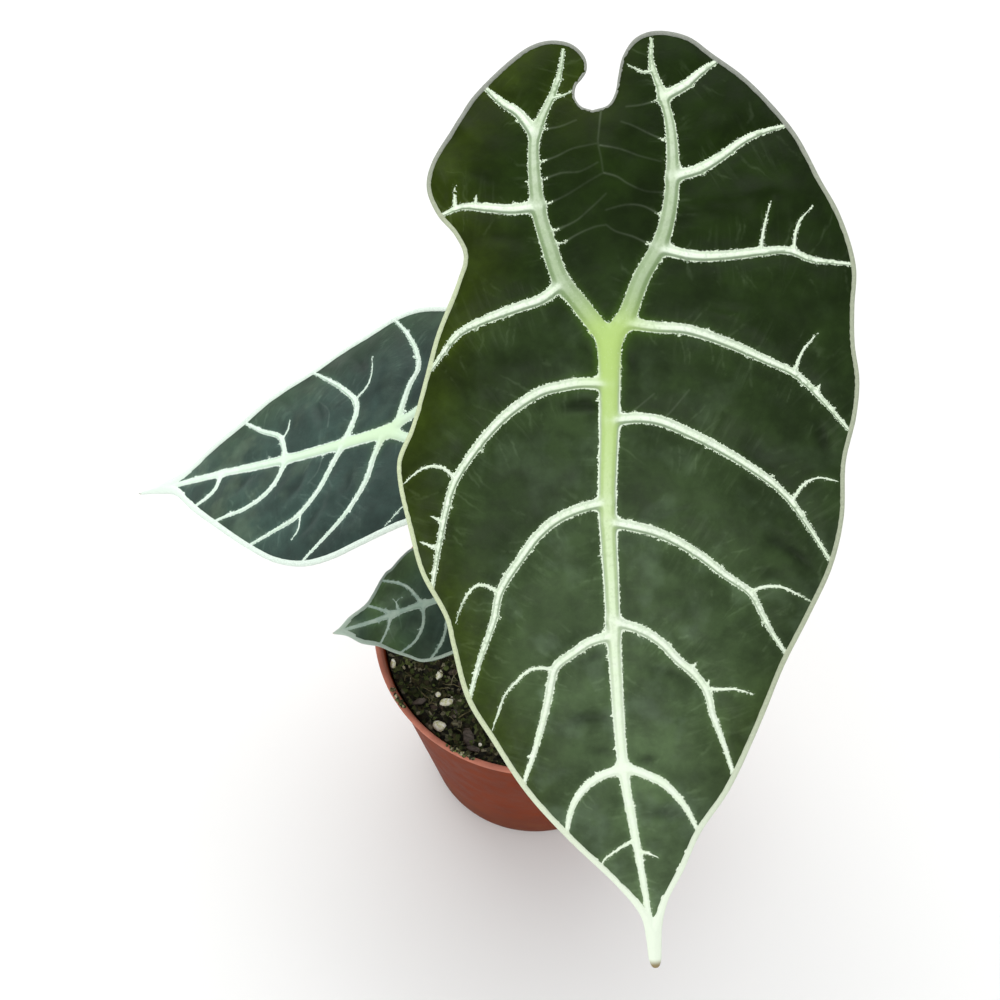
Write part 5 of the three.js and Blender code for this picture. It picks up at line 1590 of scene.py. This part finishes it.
lip_foot = POT_HEIGHT - 2.2
foot_line = [(FLOOR_RADIUS, RECESS), (31.5, RECESS), (32.3, 0.05), (34.4, 0.0), (35.4, 0.35)]
outer_heights = (1.5, *np.linspace(5, lip_foot - 1, 16), lip_foot - 0.3)
outer_line = [(wall_radius(height), height) for height in outer_heights]
lip_line = [
    (51.6, lip_foot - 0.1), (52.2, lip_foot + 0.2), (52.46, lip_foot + 0.8), (POT_RIM, POT_HEIGHT - 0.8),
    (52.25, POT_HEIGHT - 0.25), (51.7, POT_HEIGHT), (51.25, POT_HEIGHT - 0.05), (50.85, POT_HEIGHT - 0.35),
    (50.65, POT_HEIGHT - 1.0),
]
inner_heights = np.linspace(POT_HEIGHT - 3, POT_FLOOR + 2, 22)
inner_line = [(wall_radius(height) - WALL, height) for height in inner_heights]
corner_line = [
    (wall_radius(POT_FLOOR) - WALL - 0.2, POT_FLOOR + 0.6), (34.0, POT_FLOOR), (FLOOR_RADIUS, POT_FLOOR),
]
pot_profile = np.array([*foot_line, *outer_line, *lip_line, *inner_line, *corner_line])
pot_wall = turned_profile(pot_profile, POT_SIDES)
way_round = np.arctan2(pot_wall[:, 1], pot_wall[:, 0])
sag = OUT_OF_ROUND * np.sin(2 * way_round + 0.6) * (pot_wall[:, 2] / POT_HEIGHT) ** 2
pot_wall[:, :2] *= (1 - OUT_OF_ROUND + sag)[:, None]
print("pot wall:", len(pot_profile), "rings of", POT_SIDES, "points")

# %% [markdown]
# ## Pot floor
# Water drains through six holes in the floor. A Boolean could cut them, but it often leaves long
# thin faces. Here the floor is triangulated round the holes first and given its thickness after.

# %% Pot floor
HOLE_RADIUS = 4.0
HOLE_CIRCLE = 24.0
FLOOR_GRID = 3.0
around = np.linspace(0, 2 * np.pi, POT_SIDES, endpoint=False)
ring = np.column_stack([np.cos(around), np.sin(around)])
small_ring = ring[::4]
holes = [HOLE_CIRCLE * np.array([math.cos(a), math.sin(a)]) for a in np.arange(6) * math.pi / 3]
floor_spots = honeycomb((-FLOOR_RADIUS, -FLOOR_RADIUS), (FLOOR_RADIUS, FLOOR_RADIUS), FLOOR_GRID)
clear = np.linalg.norm(floor_spots, axis=1) < FLOOR_RADIUS - 1.5
for hole in holes:
    clear &= np.linalg.norm(floor_spots - hole, axis=1) > HOLE_RADIUS + 1.2
floor_rim = FLOOR_RADIUS * (1 - OUT_OF_ROUND) * ring
hole_rims = [hole + HOLE_RADIUS * small_ring for hole in holes]
hole_rims = [np.vstack([rim, rim[:1]]) for rim in hole_rims]
floor_flat, floor_faces = triangulate(floor_rim, floor_spots[clear], hole_rims)
face_middles = floor_flat[floor_faces].mean(axis=1)
solid = np.ones(len(floor_faces), bool)
for hole in holes:
    solid &= np.linalg.norm(face_middles - hole, axis=1) > HOLE_RADIUS
floor_faces, _ = closed_sheet(floor_faces[solid], len(floor_flat))
floor_top = np.column_stack([floor_flat, np.full(len(floor_flat), POT_FLOOR)])
floor_under = np.column_stack([floor_flat, np.full(len(floor_flat), RECESS)])
pot_points, pot_faces = gathered([
    (pot_wall, tube_faces(len(pot_profile), POT_SIDES, capped=False)),
    (np.vstack([floor_top, floor_under]), floor_faces),
])
print("pot floor:", len(holes), "drain holes")

# %% [markdown]
# ## Dent
# A thin pot is seldom quite round. This one is pressed in by two millimetres at the back left, where
# the photograph shows no rim behind the small leaf, and the soil gives way with it. A Lattice could
# press in each of them, but one formula moves the pot, the soil and every loose grain alike.

# %% Dent
DENT_ANGLE = 148
DENT_WIDTH = 18
DENT_DEPTH = 2.3


def dented(points):
    """Points of the pot or its filling, pressed in where the thin rim is a little out of round."""
    away = np.degrees(np.arctan2(points[:, 1], points[:, 0])) - DENT_ANGLE
    away = (away + 180) % 360 - 180
    press = DENT_DEPTH * np.exp(-((away / DENT_WIDTH) ** 2)) * (points[:, 2] / POT_HEIGHT) ** 3
    shrink = 1 - press * np.hypot(points[:, 0], points[:, 1]) / POT_RIM**2
    return np.column_stack([points[:, :2] * shrink[:, None], points[:, 2]])


pot_points = dented(pot_points)
print("dent:", DENT_DEPTH, "mm at", DENT_ANGLE, "degrees")

# %% [markdown]
# ## Pot finish
# The plastic is a deep terracotta brown and a little mottled. Its lip is painted much lighter: a painted
# highlight for the light that falls on its top and shines through the thin edge. Real translucency would
# take long to render, so the lip only has a lighter colour. Dust lies round the foot.

# %% Pot finish
PAINTED_LIP_HIGHLIGHT = (81.8, 83.4)


def pot_finish():
    finish = Finish("terracotta_brown_plastic", specular=0.06)
    height = finish.nodes.new("ShaderNodeSeparateXYZ")
    finish.links.new(finish.place, height.inputs[0])
    height = height.outputs["Z"]
    clouds = finish.noise(26, detail=4)
    specks = finish.noise(0.7, detail=3, rough=0.8)
    scuff = finish.noise(6, detail=5, rough=0.65)
    tone = finish.mix(finish.step(clouds, 0.3, 0.7), srgb(108, 42, 14), srgb(120, 50, 20))
    # Painted highlight: the lip is painted lighter
    tone = finish.mix(finish.step(height, *PAINTED_LIP_HIGHLIGHT, 0, 0.9), tone, srgb(190, 122, 102))
    tone = finish.vector("SCALE", tone, finish.step(scuff, 0.35, 0.7, 0.9, 1.15))
    tone = finish.mix(finish.step(specks, 0.62, 0.75, 0, 0.2), tone, srgb(160, 104, 84))
    dust = finish.math("MULTIPLY", finish.step(height, 3, 30, 0.28, 0), finish.step(scuff, 0.4, 0.6))
    tone = finish.mix(dust, tone, srgb(108, 88, 70))
    relief = finish.bump(specks, 0.05, 0.5)
    return finish.done(tone, finish.step(scuff, 0.3, 0.7, 0.5, 0.65), relief)


pot = make_piece("moulded_pot", pot_points, pot_faces, [pot_finish()])
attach(pot, "root")
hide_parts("pot")

# %% [markdown]
# ## Soil body
# The soil is one body with a crumbly top and a well for the crown. Its top is a fine grid of points
# lifted by noise. A Displace modifier could lift it too, but the loose grains have to know the same
# height, so it is a function here.

# %% Soil body
SOIL_TOP_RADIUS = wall_radius(SOIL_LEVEL) - WALL - 0.45
SOIL_BOTTOM = POT_FLOOR + 0.3
SOIL_FOOT_SHARE = (wall_radius(SOIL_BOTTOM) - WALL - 0.45) / SOIL_TOP_RADIUS
WELL_RADIUS = CROWN_RADIUS + 0.3
SOIL_GRID = 0.8
SOIL_HEAP = 1.4


def soil_height(flat):
    """The crumbly top of the soil, a little heaped towards the wall."""
    away = np.hypot(flat[:, 0], flat[:, 1])
    height = SOIL_LEVEL + 0.9 * cloudy(flat, 11, 1.7) + 1.2 * np.abs(cloudy(flat, 4, 5.2))
    height += 1.1 * np.abs(cloudy(flat, 1.7, 7.9)) + 0.4 * cloudy(flat, 0.8, 3.1) - 0.7
    return height + SOIL_HEAP * (away / SOIL_TOP_RADIUS) ** 6


well_rim = WELL_RADIUS * small_ring
well_rim = np.vstack([well_rim, well_rim[:1]])
soil_spots = honeycomb((-51, -51), (51, 51), SOIL_GRID)
spot_reach = np.hypot(*soil_spots.T)
soil_spots = soil_spots[(spot_reach < SOIL_TOP_RADIUS - 0.5) & (spot_reach > WELL_RADIUS + 0.5)]
soil_flat, top_faces = triangulate(SOIL_TOP_RADIUS * ring, soil_spots, [well_rim])
top_faces = top_faces[np.hypot(*soil_flat[top_faces].mean(axis=1).T) > 0.99 * WELL_RADIUS]
used, top_faces = np.unique(top_faces, return_inverse=True)
soil_flat, top_faces = soil_flat[used], top_faces.reshape(-1, 3)
soil_top = np.column_stack([soil_flat, soil_height(soil_flat)])
taper = np.interp(np.hypot(*soil_flat.T), [WELL_RADIUS, SOIL_TOP_RADIUS], [1, SOIL_FOOT_SHARE])
soil_under = np.column_stack([soil_flat * taper[:, None], np.full(len(soil_flat), SOIL_BOTTOM)])
soil_points = dented(np.vstack([soil_top, soil_under]))
soil_faces, _ = closed_sheet(top_faces, len(soil_flat))
print("soil top from", soil_top[:, 2].min().round(1), "to", soil_top[:, 2].max().round(1), "mm")

# %% [markdown]
# ## Soil finish
# Each crumb has its own shade, from nearly black through brown to olive and grey. A cell pattern
# gives every crumb one colour, which plain noise would only smear.


# %% Soil finish
def soil_finish(name, crumb, painted_light_lift):
    """Crumbs of a size in millimetres, each with a tone of its own. The last argument scales them all
    lighter, painted light for small crumbs that lie in their own shade.
    """
    finish = Finish(name, specular=0.2)
    shade = finish.nodes.new("ShaderNodeSeparateColor")
    finish.links.new(finish.cells(crumb, output="Color"), shade.inputs[0])
    pick, bright = shade.outputs[0], shade.outputs[1]
    clouds = finish.noise(7, detail=3)
    grain = finish.noise(0.35, detail=4, rough=0.75)
    tone = finish.mix(finish.step(pick, 0.25, 0.5), srgb(26, 26, 16), srgb(64, 58, 38))
    tone = finish.mix(finish.step(pick, 0.45, 0.7), tone, srgb(66, 76, 38))
    tone = finish.mix(finish.step(pick, 0.8, 0.96), tone, srgb(118, 114, 92))
    tone = finish.vector("SCALE", tone, finish.step(bright, 0.0, 1.0, 0.35 * painted_light_lift, 1.5 * painted_light_lift))
    tone = finish.vector("SCALE", tone, finish.step(grain, 0.3, 0.7, 0.55, 1.5))
    tone = finish.mix(finish.step(clouds, 0.52, 0.68, 0, 0.4), tone, srgb(50, 62, 28))
    relief = finish.bump(finish.cells(crumb, feature="F1"), 0.5, 0.8)
    relief = finish.bump(grain, 0.25, 0.9, under=relief)
    return finish.done(tone, finish.step(clouds, 0.3, 0.7, 0.75, 0.95), relief)


soil = make_piece("soil_body", soil_points, soil_faces, [soil_finish("potting_mix", 1.3, 1.0)])
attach(soil, "root")
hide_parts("soil")

# %% [markdown]
# ## Loose crumbs
# Crumbs of the mix lie loose on the soil, and a few have spilled on the rim. A crumb is a small ball
# pushed out of round by noise. A particle system could scatter copies of one, but no two crumbs are
# alike. The random places are seeded, so they never change.

# %% Loose crumbs
rng = np.random.default_rng(11)


def ball(subdivisions):
    """The points and faces of a ball of radius 1 made of triangles."""
    shape = bmesh.new()
    bmesh.ops.create_icosphere(shape, subdivisions=subdivisions, radius=1)
    points = np.array([tuple(point.co) for point in shape.verts])
    triangles = [tuple(point.index for point in face.verts) for face in shape.faces]
    shape.free()
    return points, triangles


FINE_BALL, ROUGH_BALL = ball(2), ball(1)


def lump(center, radii, shape, uneven, turn=None):
    """A ball at center, pushed out of round by noise and turned, at random if no turn is given."""
    points, triangles = shape
    if turn is None:
        turn = Euler(rng.uniform(0, 6.28, 3))
    bumpy = points * (1 + uneven * cloudy(points, 0.9, rng.uniform(0, 99)))[:, None]
    return (bumpy * radii) @ np.array(turn.to_matrix()).T + center, triangles


def on_soil(count, low, high):
    """Places on the soil, evenly spread between two distances from the axis."""
    away = np.sqrt(rng.uniform(low**2, high**2, count))
    angle = rng.uniform(0, 2 * np.pi, count)
    flat = np.column_stack([away * np.cos(angle), away * np.sin(angle)])
    return np.column_stack([flat, soil_height(flat)])


def loose_piece(name, parts, finish):
    points, faces = gathered(parts)
    piece = make_piece(name, dented(points), faces, [finish])
    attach(piece, "root")


crumbs = []
for spot in on_soil(1150, CROWN_RADIUS + 2, SOIL_TOP_RADIUS - 1.2):
    size = rng.uniform(0.35, 1.35)
    crumbs.append(lump(spot + (0, 0, 0.25 * size), size * rng.uniform(0.5, 1.1, 3), ROUGH_BALL, 0.5))
for spot in on_soil(110, CROWN_RADIUS + 4, SOIL_TOP_RADIUS - 3):
    size = rng.uniform(1.2, 2.4)
    crumbs.append(lump(spot - (0, 0, 0.1 * size), size * rng.uniform(0.55, 1, 3), FINE_BALL, 0.55))
# Painted light: the loose crumbs are painted a fifth lighter than the soil
loose_piece("soil_crumbs", crumbs, soil_finish("loose_crumbs", 1.9, 1.2))


# %% Spilled crumbs
# Two small heaps on the rim: angle round the pot, how far they spread, and how many crumbs
SPILLS = ((211, 3.2, 24), (243.5, 2.6, 38))
spilled = []
for heap, spread, count in SPILLS:
    for _ in range(count):
        angle = math.radians(rng.normal(heap, spread))
        away = rng.uniform(51.0, 51.9)
        size = rng.uniform(0.4, 1.0)
        level = POT_HEIGHT + 0.3 * size
        spot = (away * math.cos(angle), away * math.sin(angle), level)
        spilled.append(lump(spot, size * rng.uniform(0.55, 1, 3), ROUGH_BALL, 0.5))
# Painted light: the spilled crumbs on the rim are painted twice as light as the soil
loose_piece("spilled_crumbs", spilled, soil_finish("spilled_crumbs", 0.8, 2.0))

# %% [markdown]
# ## Perlite
# Perlite is volcanic glass puffed up by heat, so its grains are white, light and full of pits. The
# largest ones stand where the photograph shows them. The pits are too small to model, so a cell pattern
# presses them in as relief and paints them darker, a painted shade in the pits.

# %% Perlite
PERLITE = [
    # Across, along and the half sizes of the grains that the photograph shows
    (-31.2, -34.1, 2.1, 1.8), (-29.1, -25.4, 2.2, 1.3), (-31.7, -22.6, 0.9, 0.9), (-31.5, -15.1, 1.1, 1.9),
    (-46.2, -12.1, 0.9, 1.7), (-18.3, -39.9, 0.6, 0.6),
]
perlite = []
for x, y, half_x, half_y in PERLITE:
    z = soil_height(np.array([[x, y]]))[0] + 0.5 * half_x
    turn = Euler((0, 0, rng.uniform(-0.3, 0.3)))
    perlite.append(lump((x, y, z), (half_x, half_y, 0.8 * min(half_x, half_y)), FINE_BALL, 0.28, turn))
for spot in on_soil(46, CROWN_RADIUS + 3, SOIL_TOP_RADIUS - 2):
    size = rng.uniform(0.3, 2.0) if spot[0] > -14 else rng.uniform(0.2, 0.4)
    perlite.append(lump(spot + (0, 0, 0.4 * size), size * rng.uniform(0.65, 1.1, 3), FINE_BALL, 0.28))


def perlite_finish():
    finish = Finish("perlite", specular=0.2)
    pits = finish.cells(0.45)
    # Patches of yellow-green at random over the white
    yellow_green_patches = finish.noise(1.3, detail=4, rough=0.65)
    tone = finish.mix(finish.step(yellow_green_patches, 0.4, 0.66), srgb(252, 251, 236), srgb(206, 206, 146))
    # Painted shade: the pits are darker
    tone = finish.mix(finish.step(pits, 0.35, 0.1, 0, 0.4), tone, srgb(164, 162, 108))
    return finish.done(tone, 0.85, finish.bump(pits, 0.25, 0.8))


loose_piece("perlite_grains", perlite, perlite_finish())

# %% [markdown]
# ## Bark chips
# Bark breaks into flakes with straight sides. A cube with its corners moved would do from afar, but
# these lie close to the eye, so each one is an uneven outline of five to seven corners, built up in
# four layers with a chipped top.


# %% Bark chips
def flake(center, size, thick):
    """A broken flake of bark: a flat stone with straight sides and a chipped top."""
    corners = rng.integers(5, 8)
    even = np.arange(corners) * 2 * np.pi / corners
    angle = np.sort(rng.uniform(0, 2 * np.pi / corners, corners) * 0.7 + even)
    outline = np.column_stack([np.cos(angle), rng.uniform(0.5, 0.8) * np.sin(angle)])
    layers = [(0.8, 0), (1, 0.3), (0.97, 0.7), (0.8, 1)]
    rings = []
    for scale, height in layers:
        jitter = rng.uniform(0.9, 1.1, (corners, 1))
        rings.append(np.column_stack([outline * scale * jitter * size, np.full(corners, height * thick)]))
    rings[-1][:, 2] += rng.uniform(-0.25, 0.25, corners) * thick
    turn = Euler((rng.uniform(-0.35, 0.35), rng.uniform(-0.35, 0.35), rng.uniform(0, 6.28)))
    return np.vstack(rings) @ np.array(turn.to_matrix()).T + center, tube_faces(len(layers), corners)


BARK = [(-22.1, -37.6, 3.5), (-20.5, -41.8, 2.2), (-37.5, -25.5, 2.2), (-26.5, -29.5, 1.6)]
bark = []
for x, y, size in BARK:
    bark.append(flake((x, y, soil_height(np.array([[x, y]]))[0] + 0.3), size, 0.3 * size))
for spot in on_soil(70, CROWN_RADIUS + 4, SOIL_TOP_RADIUS - 4):
    size = rng.uniform(0.9, 2.6)
    bark.append(flake(spot, size, 0.3 * size))


def bark_finish():
    finish = Finish("bark", specular=0.25)
    streaks = finish.noise(0.8, detail=5, rough=0.7, stretch=(3, 1, 1))
    clouds = finish.noise(6, detail=2)
    tone = finish.mix(finish.step(clouds, 0.35, 0.65), srgb(72, 60, 50), srgb(96, 88, 80))
    tone = finish.vector("SCALE", tone, finish.step(streaks, 0.35, 0.65, 0.5, 1.25))
    return finish.done(tone, 0.8, finish.bump(streaks, 0.3, 0.9))


loose_piece("bark_chips", bark, bark_finish())

# %% [markdown]
# ## Strands
# Coir and fine roots show as short bent threads. Hair would have to be turned into a mesh first, so
# each strand is a thin six-sided tube along a bent line.

# %% Strands
STRAND_SIDES = 6
STRAND_STEP = 0.6
SHOWN_STRANDS = [
    # The few strands that stand out in the photograph, as two ends
    ((-37.5, -20.6), (-32.5, -21.6)), ((-37, -24.3), (-31.5, -23.2)), ((-43, -17.5), (-38, -14)),
    ((-41, -24), (-37, -27.5)), ((-33.5, -29.5), (-36.5, -31.5)), ((-28, -31), (-24, -33.5)),
]
ends = [(np.array(start), np.array(end)) for start, end in SHOWN_STRANDS]
for spot in on_soil(150, CROWN_RADIUS + 4, SOIL_TOP_RADIUS - 5):
    heading = rng.uniform(0, np.pi)
    half = rng.uniform(1.2, 3.8) * np.array([math.cos(heading), math.sin(heading)])
    ends.append((spot[:2] - half, spot[:2] + half))
strands = []
for start, end in ends:
    share = np.linspace(0, 1, 6)[:, None]
    bent = start + (end - start) * share + rng.normal(0, 0.3, (6, 2))
    if np.hypot(*bent.T).max() > SOIL_TOP_RADIUS - 1:
        continue
    rise = soil_height(bent) + rng.uniform(0.3, 1.1) + 0.3 * np.sin(np.pi * share[:, 0])
    line = smooth_line(np.column_stack([bent, rise]), STRAND_STEP)
    thick = rng.uniform(0.09, 0.24) * np.linspace(1, 0.5, len(line))[:, None]
    strands.append((tube_points(line, thick, STRAND_SIDES), tube_faces(len(line), STRAND_SIDES)))


def strand_finish():
    finish = Finish("strands", specular=0.2)
    tint = finish.noise(5, detail=2)
    grain = finish.noise(0.5, detail=4, rough=0.7)
    tone = finish.mix(finish.step(tint, 0.35, 0.5), srgb(44, 44, 26), srgb(104, 98, 66))
    tone = finish.mix(finish.step(tint, 0.55, 0.7), tone, srgb(128, 122, 100))
    tone = finish.vector("SCALE", tone, finish.step(grain, 0.3, 0.7, 0.6, 1.2))
    return finish.done(tone, 0.8, finish.bump(grain, 0.08, 0.6))


loose_piece("soil_strands", strands, strand_finish())
